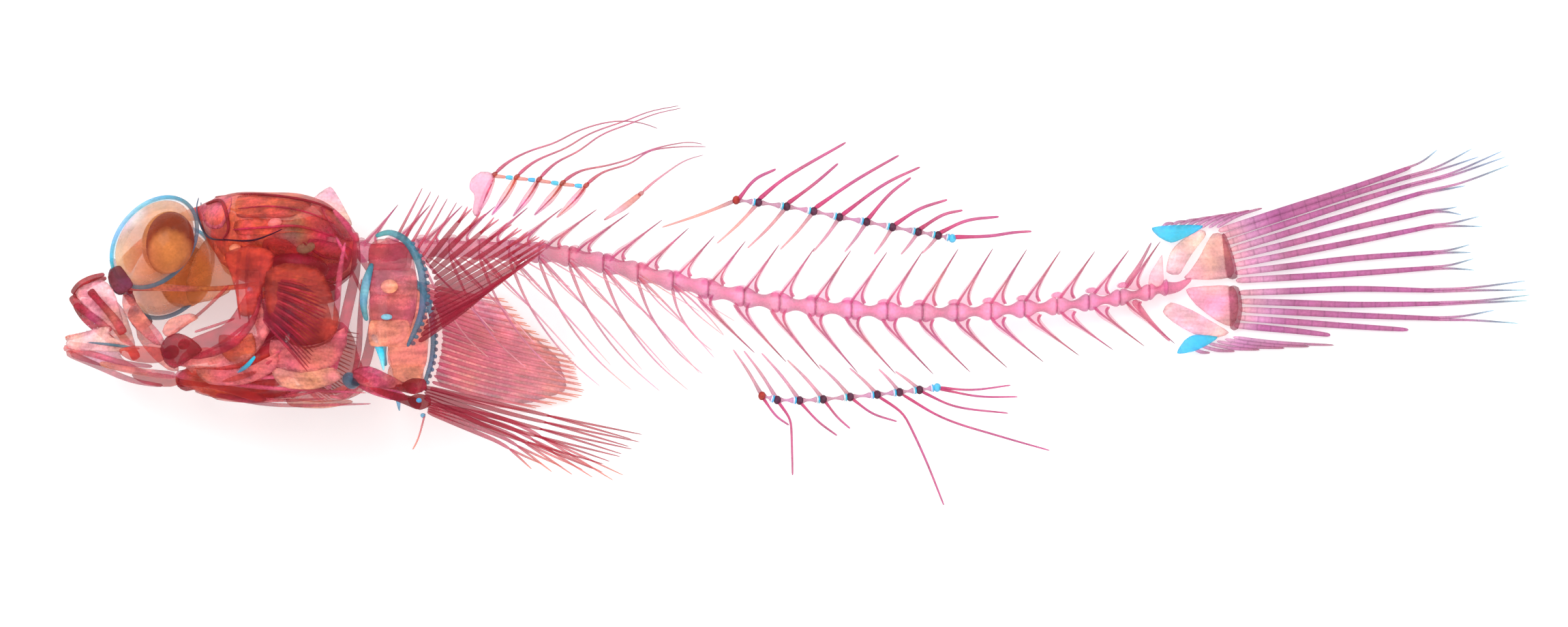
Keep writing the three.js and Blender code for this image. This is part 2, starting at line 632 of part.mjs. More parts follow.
function tailRay([y0, y10, end, ...tips]) {
  const x0 = rayRootX(y0);
  const onShaft = (x) => mix(y0, y10, (x - x0) / (110 - x0));
  const shaft = end[0] > 111
    ? [[x0, y0, 0], [105, onShaft(105), 0], [110, y10, 0], [...end, 0]]
    : [[x0, y0, 0], [105, onShaft(105), 0], [...end, 0]];
  const branch = ([x, y]) => rod(
    [[end[0] - 0.6, end[1], 0], [x, y, 0]], [TAIL_RAY], { steps: 1 });
  return [rod(shaft, [TAIL_RAY]), ...tips.map(branch)];
}

// The short rays that crowd the front of the fin above and below.
const shortRays = (n, [firstRoot, lastRoot], [firstTip, lastTip], bow) => range(n).map((i) => {
  const u = i / (n - 1);
  const root = [mix(firstRoot[0], lastRoot[0], u), mix(firstRoot[1], lastRoot[1], u)];
  const tip = [mix(firstTip[0], lastTip[0], u), mix(firstTip[1], lastTip[1], u)];
  return rod([[...root, 0], [mix(root[0], tip[0], 0.45), mix(root[1], tip[1], 0.5) + bow, 0], [...tip, 0]],
    [0.3]);
});

add("upper_tail_cartilage", () => [plate([[92.9, 6.7], [93.2, 7.1], [96.6, 7.25], [94.6, 6.15]], 0.56)],
  blueCartilage);
add("lower_tail_cartilage", () => [plate([[95.0, -3.2], [96.0, -1.95], [97.9, -2.25], [97.2, -2.7]], 0.56)],
  blueCartilage);
add("upper_hypural_and_rays", () => [
  plate([[96.3, 2.8], [96.5, 3.6], [97.5, 4.9], [97.9, 6.6], [98.3, 7.2], [98.8, 6.7], [99.6, 5.0], [100.05, 2.8]],
    0.56),
  plate([[94.3, 3.3], [94.2, 5.2], [95.0, 6.0], [97.5, 7.4], [98.6, 7.3], [97.4, 6.2], [95.6, 4.4], [95.5, 3.5]],
    0.5),
  ...shortRays(4, [[95.9, 7.1], [98.4, 7.0]], [[97.6, 8.2], [102.3, 9.0]], 0.25),
  ...upperRays.flatMap(tailRay),
], finBone);
add("lower_hypural_and_rays", () => [
  plate([[96.0, 2.2], [100.1, 2.45], [100.4, 0.4], [100.2, -1.0], [99.5, -1.7], [98.4, -0.8], [96.2, 0.8]], 0.56),
  plate([[94.6, 1.0], [93.7, 0.1], [95.0, -0.75], [98.1, -2.0], [99.4, -2.1], [99.8, -1.3], [98.3, -0.9], [96.2, 0.2]],
    0.5),
  ...shortRays(3, [[98.2, -2.0], [99.5, -1.9]], [[101.0, -3.0], [108.6, -2.6]], -0.15),
  ...lowerRays.flatMap(tailRay),
], finBone);

// ---------------------------------------------------------------- fins of the back and belly

// Each fin support has a foot towards the column and a head at the fin's base, and
// one bar runs along all the heads.
const support = ([foot, head], thick) => rod(
  [[...foot, 0], [mix(foot[0], head[0], 0.6), mix(foot[1], head[1], 0.56), 0], [...head, 0]],
  [0.3, thick, 0.4]);
const supports = (feet, heads, thick) => feet.map((foot, i) => support([foot, heads[i]], thick));
const baseBar = (heads) => rod(heads.map((head) => [...head, 0]), [0.36], { steps: heads.length - 1 });
const rays = (list, steps = 2) => list.map((points) =>
  rod(points.map((p) => [...p, 0]), [BONE, 0.3], { steps }));

const firstDorsalHeads = [[36.8, 11.7], [38.7, 11.5], [40.6, 11.3], [42.6, 11.0], [44.6, 10.8]];
const firstDorsalFeet = [[35.2, 8.0], [36.6, 8.0], [38.4, 7.8], [40.3, 7.9], [42.1, 7.8]];
const firstDorsalSpines = [
  [[36.9, 11.8], [40, 13.8], [43.4, 15.2], [47.8, 16.4], [50.8, 15.8]],
  [[38.8, 11.6], [41.5, 13.5], [44.5, 15.1], [48.4, 16.5], [52.6, 17.8]],
  [[40.7, 11.4], [44, 13.7], [46.3, 15.4], [50.5, 17.0], [52.8, 17.5]],
  [[42.7, 11.1], [45.5, 12.4], [49.2, 13.5], [52.5, 14.5], [54.6, 14.5]],
  [[44.7, 10.9], [46.8, 12.3], [50.0, 13.6], [52.5, 14.1], [55, 14.1]],
];
add("first_dorsal_fin", () => [
  ...supports(firstDorsalFeet, firstDorsalHeads, 0.55),
  rod([[34.6, 10.2, 0], [35.3, 11.5, 0], [36.8, 11.8, 0]], [0.3, 0.6, 0.4], { sides: 4, steps: 3 }),
  baseBar(firstDorsalHeads),
  ...rays(firstDorsalSpines, 3),
], pinkBone);
add("sixth_dorsal_spine", () => [
  support([[46.0, 7.4], [49.4, 10.2]], 0.5),
  ...rays([[[49.0, 9.9], [51.4, 12.0], [53, 13.0], [54.8, 13.5]]]),
], pinkBone);

const secondDorsalHeads = [
  [56.5, 9.6], [59.2, 9.35], [61.6, 9.0], [63.9, 8.6], [66.2, 8.1], [68.4, 7.7], [70.6, 7.3], [72.8, 6.9],
  [74.5, 6.65], [75.8, 6.4],
];
const secondDorsalFeet = [
  [51.0, 7.2], [55.5, 5.7], [58.2, 5.4], [61.0, 5.2], [63.8, 5.0], [66.6, 5.0], [69.0, 4.8], [71.3, 4.8], [73.1, 4.9],
];
const secondDorsalRays = [
  [[57.5, 9.5], [58.3, 10.8], [60.8, 12.3]],
  [[59.1, 9.5], [62, 11.7], [66.9, 14.6]],
  [[61.6, 9.2], [64, 11.1], [66.1, 12.8]],
  [[63.9, 8.8], [66, 10.5], [71.4, 13.5]],
  [[66.2, 8.2], [70, 10.9], [73.2, 12.5]],
  [[68.4, 7.8], [70.5, 10.4], [72.2, 11.7]],
  [[70.6, 7.4], [72.5, 8.7], [75.5, 9.7]],
  [[72.8, 7.0], [74.8, 8.3], [76.7, 8.8]],
  [[74.5, 6.7], [77, 7.8], [79.8, 8.3]],
  [[75.7, 6.5], [78, 6.95], [80.2, 7.2]],
];
add("second_dorsal_fin", () => [
  ...supports(secondDorsalFeet, secondDorsalHeads, 0.36),
  support([[53.1, 6.1], [57.6, 9.3]], 0.36),
  baseBar(secondDorsalHeads),
  ...rays(secondDorsalRays),
], pinkBone);

const analHeads = [
  [59.6, -7.0], [60.9, -7.3], [62.7, -7.35], [64.8, -7.25], [67.1, -7.0], [69.3, -6.9], [71.3, -6.6], [73.0, -6.4],
  [74.5, -6.3],
];
const analFeet = [
  [57.0, -2.8], [58.0, -3.0], [59.4, -3.2], [61.6, -3.8], [64.3, -4.2], [67.0, -4.5], [69.4, -4.6], [70.8, -4.9],
];
const analRays = [
  [[59.6, -7.1], [60.8, -8.6], [62, -9.5]],
  [[60.9, -7.3], [62.0, -8.9], [62.3, -11.4], [62.25, -13.9]],
  [[62.7, -7.4], [64.4, -9.2], [66, -10.5]],
  [[64.8, -7.3], [66, -8.8], [67.1, -9.9]],
  [[67.1, -7.1], [69.2, -8.5], [71.1, -9.3]],
  [[69.3, -7.0], [71.5, -8.4], [73.5, -12.2], [75.2, -16.6]],
  [[71.3, -6.7], [74.5, -8.7], [80, -10.4], [84.3, -11.8]],
  [[73.0, -6.5], [76, -7.8], [80.7, -8.6]],
  [[74.4, -6.4], [78, -7.1], [81.5, -7.15]],
];
add("anal_fin", () => [
  ...supports(analFeet, analHeads, 0.36),
  baseBar(analHeads),
  ...rays(analRays),
], pinkBone);

export default skeleton;
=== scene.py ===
# %% [markdown]
# # A goby's skeleton, cleared and stained
#
# A cleared and stained fish has had its flesh made as clear as glass. A red dye
# colours the bone and a blue one the cartilage, so the skeleton shows through
# itself: where two bones cross, the red is twice as deep. This lesson makes such
# a skeleton, 125 mm long, lying on its right side under a camera that looks
# straight down.

import functools
import math

import bmesh
import bpy
from mathutils import Matrix, Vector


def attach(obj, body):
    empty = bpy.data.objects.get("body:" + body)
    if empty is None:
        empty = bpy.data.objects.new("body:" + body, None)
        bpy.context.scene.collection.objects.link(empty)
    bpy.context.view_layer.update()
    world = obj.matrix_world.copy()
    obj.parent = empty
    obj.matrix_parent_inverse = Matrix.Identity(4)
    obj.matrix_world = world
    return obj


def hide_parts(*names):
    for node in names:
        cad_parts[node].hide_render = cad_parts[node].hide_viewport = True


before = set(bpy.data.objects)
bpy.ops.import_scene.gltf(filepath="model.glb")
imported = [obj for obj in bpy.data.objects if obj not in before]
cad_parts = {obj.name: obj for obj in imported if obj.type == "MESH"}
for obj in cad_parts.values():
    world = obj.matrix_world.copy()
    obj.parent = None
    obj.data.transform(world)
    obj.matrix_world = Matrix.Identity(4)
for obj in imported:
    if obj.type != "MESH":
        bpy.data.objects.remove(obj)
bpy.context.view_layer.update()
print("frame nodes:", len(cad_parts))

# %% Small helpers for Blender
def to_mesh(bm, name):
    """Turns a working mesh into a finished one."""
    mesh = bpy.data.meshes.new(name)
    bm.to_mesh(mesh)
    bm.free()
    return mesh


def put(name, data):
    """Puts an object made of data in the scene."""
    thing = bpy.data.objects.new(name, data)
    bpy.context.scene.collection.objects.link(thing)
    return thing


def fill(node, inputs):
    """Fills in the inputs of a shader node, by name."""
    for name, value in inputs.items():
        node.inputs[name].default_value = value


# %% [markdown]
# ## Camera, floor and light
#
# A skeleton on a table is looked at from straight above. A long lens from far
# away keeps the near bones from looking larger than the far ones, which a short
# lens close up would not. The floor is a matt white sheet that glows a little,
# like a light table, because clear bones get half of their light from below.

# %% Set up the camera
MM = 0.001
VIEW_CENTRE = Vector((-1.373, -0.645, 6.0)) * MM
VIEW_WIDTH = 133.33 * MM
LENS = 600
SENSOR = 36


def make_camera():
    data = bpy.data.cameras.new("camera")
    data.lens = LENS
    data.sensor_width = SENSOR
    data.clip_start = 0.01
    camera = put("camera", data)
    camera.location = VIEW_CENTRE + Vector((0, 0, VIEW_WIDTH * LENS / SENSOR))
    bpy.context.scene.camera = camera


make_camera()

# %% Lay the floor and light it
FLOOR_SIZE = 6.0
FLOOR_GLOW = 0.3
SKY = 0.95
KEY = {"place": (-0.5, 0.7, 1.1), "size": 0.7, "power": 7}


def make_floor():
    bm = bmesh.new()
    bmesh.ops.create_grid(bm, x_segments=1, y_segments=1, size=FLOOR_SIZE / 2)
    floor = put("floor", to_mesh(bm, "floor"))
    sheet = bpy.data.materials.new("white_sheet")
    sheet.use_nodes = True
    fill(sheet.node_tree.nodes["Principled BSDF"], {
        "Base Color": (0.86, 0.86, 0.86, 1),
        "Roughness": 0.9,
        "Emission Color": (1, 1, 1, 1),
        "Emission Strength": FLOOR_GLOW,
    })
    floor.data.materials.append(sheet)


def make_lights():
    world = bpy.data.worlds.new("studio")
    world.use_nodes = True
    fill(world.node_tree.nodes["Background"], {"Color": (1, 1, 1, 1), "Strength": SKY})
    bpy.context.scene.world = world
    data = bpy.data.lights.new("key", "AREA")
    data.size = KEY["size"]
    data.energy = KEY["power"]
    key = put("key", data)
    key.location = KEY["place"]
    key.rotation_euler = (-Vector(KEY["place"])).to_track_quat("-Z", "Y").to_euler()


make_floor()
make_lights()
bpy.context.scene.view_settings.view_transform = "Standard"
bpy.context.scene.cycles.transparent_max_bounces = 128
print("view is", round(VIEW_WIDTH / MM, 1), "mm wide")

# %% [markdown]
# ## How the fish lies
#
# It would be hard to draw each bone where it ends up on the table. Instead, each
# is drawn in the fish's own straight frame: x back from the tip of the lower
# jaw, y up to the back, and w out to its left side, in millimetres. One function
# then lays every point on the table: the long axis climbs to the nape and sinks
# to the tail, and the head is rolled with its belly a little up.

# %% Small maths
def clamp(v, low, high):
    return min(high, max(low, v))


def mix(a, b, t):
    return a + (b - a) * t


def ease(x, start, end):
    t = clamp((x - start) / (end - start), 0, 1)
    return t * t * (3 - 2 * t)


def lower(a, b, rounding):
    return (a + b - math.hypot(a - b, rounding)) / 2


def upper(a, b, rounding):
    return (a + b + math.hypot(a - b, rounding)) / 2


def through(stations):
    """A smooth function of x through a few (x, value) stations."""
    last = len(stations) - 1

    def slope(i):
        a, b = stations[max(i - 1, 0)], stations[min(i + 1, last)]
        return (b[1] - a[1]) / (b[0] - a[0])

    slopes = [slope(i) for i in range(last + 1)]

    def value(x):
        i = 0
        while i < last - 1 and x > stations[i + 1][0]:
            i += 1
        (x0, v0), (x1, v1) = stations[i], stations[i + 1]
        h = x1 - x0
        t = clamp((x - x0) / h, 0, 1)
        lead = t * (1 - t) * (1 - t) * h * slopes[i]
        trail = t * t * (1 - t) * h * slopes[i + 1]
        return mix(v0, v1, t * t * (3 - 2 * t)) + lead - trail

    return value


def along(values, t):
    """The value at t, from a list of numbers or colours spread evenly from 0 to 1."""
    if len(values) == 1:
        return values[0]
    at = clamp(t, 0, 1) * (len(values) - 1)
    i = min(int(at), len(values) - 2)
    return values[i] + (values[i + 1] - values[i]) * (at - i)


# %% The line of the column, and how it lies
SKULL_END = 25.3
TAIL_JOINT = 94.1
ORIGIN = Vector((62.84, 0.645, 0))
HEAD_ROLL = math.radians(18)

column_height = through([(25.3, 5.2), (34, 5.5), (43.2, 4.85), (51.9, 2.8), (60.7, 0.95),
                         (72.9, 0.08), (84.1, 0.58), (92, 1.7), (96, 2.8)])


def roll_axis(x):
    return mix(3, column_height(x), ease(x, 24, 32))


def roll_angle(x):
    return HEAD_ROLL * (1 - ease(x, 30, 90))


def axis_height(x):
    climbing = 5.05 + 0.145 * x
    falling = 0.27 + 0.146 * (99 - x)
    return upper(lower(climbing, falling, 1.4), 0.27, 0.25)


def pitch_angle(x):
    return math.atan(axis_height(x + 0.5) - axis_height(x - 0.5))


def lay(point):
    """Where a point of the straight frame lies on the table, in millimetres."""
    x, y, w = point
    roll, pitch = roll_angle(x), pitch_angle(x)
    height = axis_height(x) + w * math.cos(roll) * math.cos(pitch)
    height -= (y - roll_axis(x)) * math.tan(roll)
    return Vector((x - w * math.sin(pitch), y + w * math.sin(roll), height)) - ORIGIN


def seen(x, y, w):
    """The point of the straight frame that shows at x, y from above, w out."""
    return Vector((x + w * math.sin(pitch_angle(x)), y - w * math.sin(roll_angle(x)), w))


def resting_at(x, y, height):
    """How far out to the right a bone lies when it rests at a height on the table."""
    roll = roll_angle(x)
    return (height - axis_height(x) + (y - roll_axis(x)) * math.tan(roll)) / math.cos(roll)


print("snout to tail joint:", TAIL_JOINT, "mm")

# %% [markdown]
# ## Dyes
#
# Alizarin red runs from salmon in thin bone to maroon in thick bone, and alcian
# blue colours cartilage. Each shape carries its own dye as a colour attribute,
# so that a bone can change from pink to blue along its length. A painted image
# could do that too, but it would need a UV map for hundreds of tiny bones. The
# same attribute also holds painted light and shade: each bone is paler along its
# middle and darker at its rim as seen from above.

# %% Mix the dyes
def dye(code):
    """A colour written as six hex digits, as linear light."""
    parts = [int(code[i:i + 2], 16) / 255 for i in (0, 2, 4)]
    return Vector([p / 12.92 if p < 0.04 else ((p + 0.055) / 1.055) ** 2.4 for p in parts])


MAROON = dye("7a1226")
CRIMSON = dye("a8283c")
BRICK = dye("b8382a")
RUST = dye("a83c28")
ORANGE = dye("d4603a")
SALMON = dye("ea9278")
CORAL = dye("da7674")
PEACH = dye("f0a588")
BLUSH = dye("f2b6bf")
SHRIMP = dye("f0a4ac")
DUSTY = dye("c87890")
HOT_PINK = dye("cb6c9a")
PINK = dye("ea78aa")
ROSE = dye("cc5c76")
MAGENTA = dye("cc4478")
WINE = dye("98405e")
PLUM = dye("b86a98")
MAUVE = dye("d69cc0")
SHELL = dye("f6e4ea")
DUSK = dye("54263f")
INK = dye("3a1024")
OLIVE = dye("84704c")
CYAN = dye("1cc0e8")
SKY_BLUE = dye("8fd3e8")
TEAL = dye("1c7f93")
SLATE = dye("4b6d85")
AMBER = dye("cc7642")
CREAM = dye("eac090")
CHESTNUT = dye("7a2c1a")

# %% [markdown]
# ## Shapes
#
# Nearly every bone is a bar that has been bent and swelled, a bowed plate, or a
# lump. A bar starts as a cylinder cut into rings, and its rings are set along a
# smooth path. A plate starts as one face with the bone's outline: it is inset,
# bowed and given thickness. A Subdivision Surface then rounds them all, so that
# each needs only a few faces. Sculpting would give freer forms, but not the
# same ones each time.

# %% Gather the shapes of one piece
class Bone:
    """The shapes of one piece, in the straight frame, with their dye and reach."""

    def __init__(self):
        self.bm = bmesh.new()
        self.dye = self.bm.verts.layers.float_color.new("dye")
        self.reach = self.bm.verts.layers.float.new("reach")

    def colour(self, verts, paint):
        """Gives each corner the dye that paint finds for its place."""
        for v in verts:
            v[self.dye] = (*paint(v.co), 1)

    def take(self, template):
        """Adds a copy of a template mesh and returns its corners."""
        count = len(self.bm.verts)
        self.bm.from_mesh(template)
        self.bm.verts.ensure_lookup_table()
        return self.bm.verts[count:]


@functools.lru_cache(maxsize=None)
def unit_bar(sides, rings):
    """A cylinder one long and one in radius, cut into rings along Z."""
    bm = bmesh.new()
    bmesh.ops.create_cone(bm, cap_ends=True, segments=sides, radius1=1, radius2=1, depth=1,
                          matrix=Matrix.Translation((0, 0, 0.5)))
    long_edges = [e for e in bm.edges if abs(e.verts[0].co.z - e.verts[1].co.z) > 0.5]
    bmesh.ops.subdivide_edges(bm, edges=long_edges, cuts=rings - 1)
    return to_mesh(bm, "unit_bar")


@functools.lru_cache(maxsize=None)
def unit_ball(around, rings):
    """A ball one in radius, with its poles on Z."""
    bm = bmesh.new()
    bmesh.ops.create_uvsphere(bm, u_segments=around, v_segments=rings, radius=1)
    return to_mesh(bm, "unit_ball")


# %% Bars, lumps and plates
# painted light and shade: bones are paler along their middle and darker at their rim as seen from above, on
# top of a rim of thicker bone
THIN_MIDDLE_LIGHT, THICK_RIM_SHADE = 1.12, 0.72


def thick_rim_shaded(colour, rim):
    """The dye with painted light along a bone's middle and painted shade at its rim, as seen from above, from
    0 to 1; the rim is also thicker bone.
    """
    return colour * mix(THIN_MIDDLE_LIGHT, THICK_RIM_SHADE, rim * rim)


def path_through(points):
    """A smooth path through points, as a function of t from 0 to 1, and its length."""
    points = [Vector(p) for p in points]
    reach = [0.0]
    for a, b in zip(points, points[1:]):
        reach.append(reach[-1] + (b - a).length)
    axes = [through([(r / reach[-1], p[k]) for r, p in zip(reach, points)]) for k in range(3)]
    return lambda t: Vector([axis(t) for axis in axes]), reach[-1]


def rod(bone, points, radii, dyes, sides=6, rings=None, flat=1.0):
    """A bar along a path. radii are in the side view, and flat is how thick it is
    from left to right, as a share of that."""
    path, length = path_through(points)
    rings = rings or max(3, 2 * len(points))
    frames = []
    for i in range(rings + 1):
        t = i / rings
        tangent = (path(min(t + 0.02, 1)) - path(max(t - 0.02, 0))).normalized()
        out = Vector((0, 1, 0)) if abs(tangent.z) > 0.93 else Vector((0, 0, 1))
        out = (out - tangent * out.dot(tangent)).normalized()
        frames.append((path(t), tangent.cross(out), out, along(radii, t)))
    for v in bone.take(unit_bar(sides, rings)):
        centre, normal, out, r = frames[round(v.co.z * rings)]
        t = v.co.z
        # painted shade: the dye darkens towards the bar's outline as seen from above, and is paler along its
        # middle, partly for a thicker rim
        v[bone.dye] = (*thick_rim_shaded(along(dyes, t), v.co.x), 1)
        v.co = centre + normal * (v.co.x * r) + out * (v.co.y * max(r * flat, 0.05))
        v[bone.reach] = t * length + 2 * frames[0][0].y


def placed(centre, half_sizes, turn):
    """The matrix that gives a unit ball its half sizes, turn in degrees and centre."""
    turned = Matrix.Translation(Vector(centre)) @ Matrix.Rotation(math.radians(turn), 4, "Z")
    return turned @ Matrix.Diagonal((*half_sizes, 1))


def lump(bone, centre, half_sizes, colour, turn=0.0, around=10, rings=7):
    """A rounded lump with half sizes in x, y and w, turned by degrees in the side view."""
    verts = bone.take(unit_ball(around, rings))
    # painted shade: the lump is paler at its middle and darker towards its outline as seen from above
    bone.colour(verts, lambda at: thick_rim_shaded(colour, math.hypot(at.x, at.y)))
    bmesh.ops.transform(bone.bm, matrix=placed(centre, half_sizes, turn), verts=verts)


def plate(bone, outline, thick, centre_dye, rim_dye=None, bow=0.0):
    """A thin bone from its outline of (x, y, w) points, bowed outward at its middle."""
    bm = bone.bm
    face = bm.faces.new([bm.verts.new(p) for p in outline])
    bmesh.ops.subdivide_edges(bm, edges=face.edges[:], cuts=1)
    rim = list(face.verts)
    half_width = face.calc_area() / face.calc_perimeter()
    ring = bmesh.ops.inset_region(bm, faces=[face], thickness=0.75 * half_width,
                                  use_even_offset=True)["faces"]
    inner = list(face.verts)
    for v in inner:
        v.co.z += bow
    for v in rim:
        v[bone.dye] = (*(centre_dye if rim_dye is None else rim_dye), 1)
    for v in inner:
        v[bone.dye] = (*centre_dye, 1)
    bmesh.ops.solidify(bm, geom=[*ring, face], thickness=thick)


def sections(stations):
    """Smooth functions of x from stations of (x, middle height, half height, half width)."""
    return [through([(s[0], s[k]) for s in stations]) for k in (1, 2, 3)]


def hull(bone, stations, paint, sides, rings):
    """A closed dome of rounded sections, with the dye that paint finds for each place, and painted shade
    towards its rim as seen from above.
    """
    middle, high, wide = sections(stations)
    first, last = stations[0][0], stations[-1][0]
    for v in bone.take(unit_bar(sides, rings)):
        x, rim = mix(first, last, v.co.z), abs(v.co.x)
        v.co = Vector((x, middle(x) + v.co.x * high(x), v.co.y * wide(x)))
        # painted shade: the dome is paler at its middle and darker towards its outline as seen from above
        v[bone.dye] = (*thick_rim_shaded(paint(v.co), rim), 1)


def hoop(bone, centre, halves, tube, turn, colours):
    """An oval ring in the side view: half sizes, thickness, and a turn in degrees.
    Its colours run from its upper front to its lower rear."""
    bm = bone.bm
    before = len(bm.verts)
    upright = Matrix.Translation((1, 0, 0)) @ Matrix.Rotation(math.pi / 2, 4, "X")
    circle = bmesh.ops.create_circle(bm, segments=8, radius=tube, matrix=upright)
    edges = list({e for v in circle["verts"] for e in v.link_edges})
    bmesh.ops.spin(bm, geom=[*circle["verts"], *edges], cent=(0, 0, 0), axis=(0, 0, 1),
                   angle=2 * math.pi, steps=36, use_merge=True)
    bm.verts.ensure_lookup_table()
    angle = math.radians(turn)
    for v in bm.verts[before:]:
        round_way = math.hypot(v.co.x, v.co.y)
        c, s = v.co.x / round_way, v.co.y / round_way
        u, h = c * (halves[0] + round_way - 1), s * (halves[1] + round_way - 1)
        round_to = math.atan2(s, c) + angle - 0.75 * math.pi
        v[bone.dye] = (*along(colours, (1 - math.cos(round_to)) / 2), 1)
        v.co = Vector((centre[0] + u * math.cos(angle) - h * math.sin(angle),
                       centre[1] + u * math.sin(angle) + h * math.cos(angle),
                       centre[2] + v.co.z))


SIDES = (("left", 1), ("right", -1))


def flipped(points, s):
    """Points drawn for the left, taken to the side s, 1 for left and -1 for right."""
    return [Vector((p[0], p[1], p[2] * s)) for p in points]


def level(points, w=0.0):
    """Points of (x, y), all w out to the side."""
    return [(x, y, w) for x, y in points]


def split_rod(bone, points, apart, *shape, **more):
    """A fin ray or spine, which is two halves side by side. points are (x, y)."""
    for w in (apart, -apart):
        rod(bone, level(points, w), *shape, **more)


# %% [markdown]
# ## Stained bone as a material
#
# Clear bone lets some light straight through and sends some back, so its alpha
# is less than one on each side of its wall. Two walls, or two bones, add up to a
# deeper colour, which is what makes such a specimen look as it does. The dye
# takes unevenly: a cloudy noise lightens and darkens it, a finer one gives the
# grain of the bone, and the same grain is a faint bump. Thick and thin bone also
# have streaks, a noise drawn out along the fish. The sheet below sends light up
# through the bone, and a faint constant glow stands for it, because light that
# is traced through so many clear walls takes long to settle. Tail rays are
# built of short segments, so their material draws a darker line at each joint,
# measured along the ray by the reach attribute.

# %% Make the materials
GLOW = 0.2  # how strongly each material glows
CLOUDS, WARM_PATCHES, FIBRES, FINE_GRAIN = 520, 300, 1900, 4200  # scales of the noises
FIBRE_STRETCH = 7
JOINT_SHADE = 0.78  # how dark the line at a joint is


def stained(name, alpha, glow, cloud, warmth, grain, roughness=0.35, fibre=0.0, segment=0.0):
    """A stained material. cloud, warmth, grain and fibre are shares by which the dye
    varies, glow is the dye it glows with, and segment is the length between joints."""
    material = bpy.data.materials.new(name)
    material.use_nodes = True
    nodes, links = material.node_tree.nodes, material.node_tree.links
    shader = nodes["Principled BSDF"]
    fill(shader, {
        "Roughness": roughness,
        "Alpha": alpha,
        "Specular IOR Level": 0.12,
        "Emission Color": (*glow, 1),
        "Emission Strength": GLOW,
    })
    where = nodes.new("ShaderNodeTexCoord").outputs["Object"]
    dyed = nodes.new("ShaderNodeAttribute")
    dyed.attribute_name = "dye"
    colour = dyed.outputs["Color"]

    def vary(colour, factor, red, green, blue):
        """Scales each channel by its own (low, high) as the factor goes from 0.3 to 0.7."""
        join = nodes.new("ShaderNodeCombineXYZ")
        for channel, (low, high) in zip("XYZ", (red, green, blue)):
            spread = nodes.new("ShaderNodeMapRange")
            fill(spread, {"From Min": 0.3, "From Max": 0.7, "To Min": low, "To Max": high})
            links.new(factor, spread.inputs["Value"])
            links.new(spread.outputs["Result"], join.inputs[channel])
        shade = nodes.new("ShaderNodeVectorMath")
        shade.operation = "MULTIPLY"
        links.new(colour, shade.inputs[0])
        links.new(join.outputs[0], shade.inputs[1])
        return shade.outputs["Vector"]

    def noise(scale, detail, stretch=1.0):
        """Blotches about 1 / scale metres across, drawn out along X by stretch."""
        spread = nodes.new("ShaderNodeMapping")
        fill(spread, {"Scale": (scale / stretch, scale, scale)})
        links.new(where, spread.inputs["Vector"])
        pattern = nodes.new("ShaderNodeTexNoise")
        fill(pattern, {"Scale": 1, "Detail": detail})
        links.new(spread.outputs["Vector"], pattern.inputs["Vector"])
        return pattern.outputs["Fac"]

    colour = vary(colour, noise(CLOUDS, 3), *[(1 - cloud, 1 + cloud)] * 3)
    warmer, cooler = (1 - warmth, 1 + warmth), (1 + warmth, 1 - warmth)
    colour = vary(colour, noise(WARM_PATCHES, 2), (1, 1), warmer, cooler)
    if fibre:
        colour = vary(colour, noise(FIBRES, 3, FIBRE_STRETCH), *[(1 - fibre, 1 + fibre)] * 3)
    fine = noise(FINE_GRAIN, 2)
    colour = vary(colour, fine, *[(1 - grain, 1 + grain)] * 3)
    if segment:
        reach = nodes.new("ShaderNodeAttribute")
        reach.attribute_name = "reach"
        steps = nodes.new("ShaderNodeMath")
        steps.operation = "PINGPONG"
        steps.inputs[1].default_value = segment / 2
        links.new(reach.outputs["Fac"], steps.inputs[0])
        joint = nodes.new("ShaderNodeMath")
        joint.operation = "MULTIPLY"
        joint.inputs[1].default_value = 8 / segment
        links.new(steps.outputs[0], joint.inputs[0])  # 0 at each joint, and 4 midway to the next
        colour = vary(colour, joint.outputs[0], *[(JOINT_SHADE, 1.0)] * 3)
    links.new(colour, shader.inputs["Base Color"])
    bump = nodes.new("ShaderNodeBump")
    fill(bump, {"Strength": 0.35, "Distance": 0.03 * MM})
    links.new(fine, bump.inputs["Height"])
    links.new(bump.outputs["Normal"], shader.inputs["Normal"])
    return material


THICK_BONE = stained("thick_bone", 0.72, BRICK, cloud=0.5, warmth=0.45, grain=0.25, fibre=0.3)
THIN_BONE = stained("thin_bone", 0.5, CRIMSON, cloud=0.4, warmth=0.2, grain=0.22, fibre=0.3)
VEIL_BONE = stained("veil_bone", 0.3, ROSE, cloud=0.25, warmth=0.1, grain=0.15)
COLUMN_BONE = stained("column_bone", 0.55, PINK, cloud=0.3, warmth=0.12, grain=0.15)
SPINE_BONE = stained("spine_bone", 0.55, DUSTY, cloud=0.2, warmth=0.15, grain=0.12)
RAY_BONE = stained("ray_bone", 0.6, CRIMSON, cloud=0.15, warmth=0.1, grain=0.12)
TAIL_RAY_BONE = stained("tail_ray_bone", 0.6, PLUM, cloud=0.15, warmth=0.08, grain=0.15, segment=1.15)
CARTILAGE = stained("cartilage", 0.66, CYAN, roughness=0.25, cloud=0.2, warmth=0.1, grain=0.1)
DULL_CARTILAGE = stained("dull_cartilage", 0.66, SLATE, roughness=0.25, cloud=0.3, warmth=0.15, grain=0.15)
EYE_JELLY = stained("eye_jelly", 0.52, AMBER, roughness=0.15, cloud=0.3, warmth=0.15, grain=0.1)
EYE_LENS = stained("eye_lens", 0.8, CHESTNUT, roughness=0.15, cloud=0.2, warmth=0.08, grain=0.1)
EYE_HALO = stained("eye_halo", 0.3, SKY_BLUE, cloud=0.2, warmth=0.05, grain=0.1)
JOINT_INK = stained("joint_ink", 0.85, INK, cloud=0.3, warmth=0.1, grain=0.25)

# %% Put a piece on the table
tally = {}


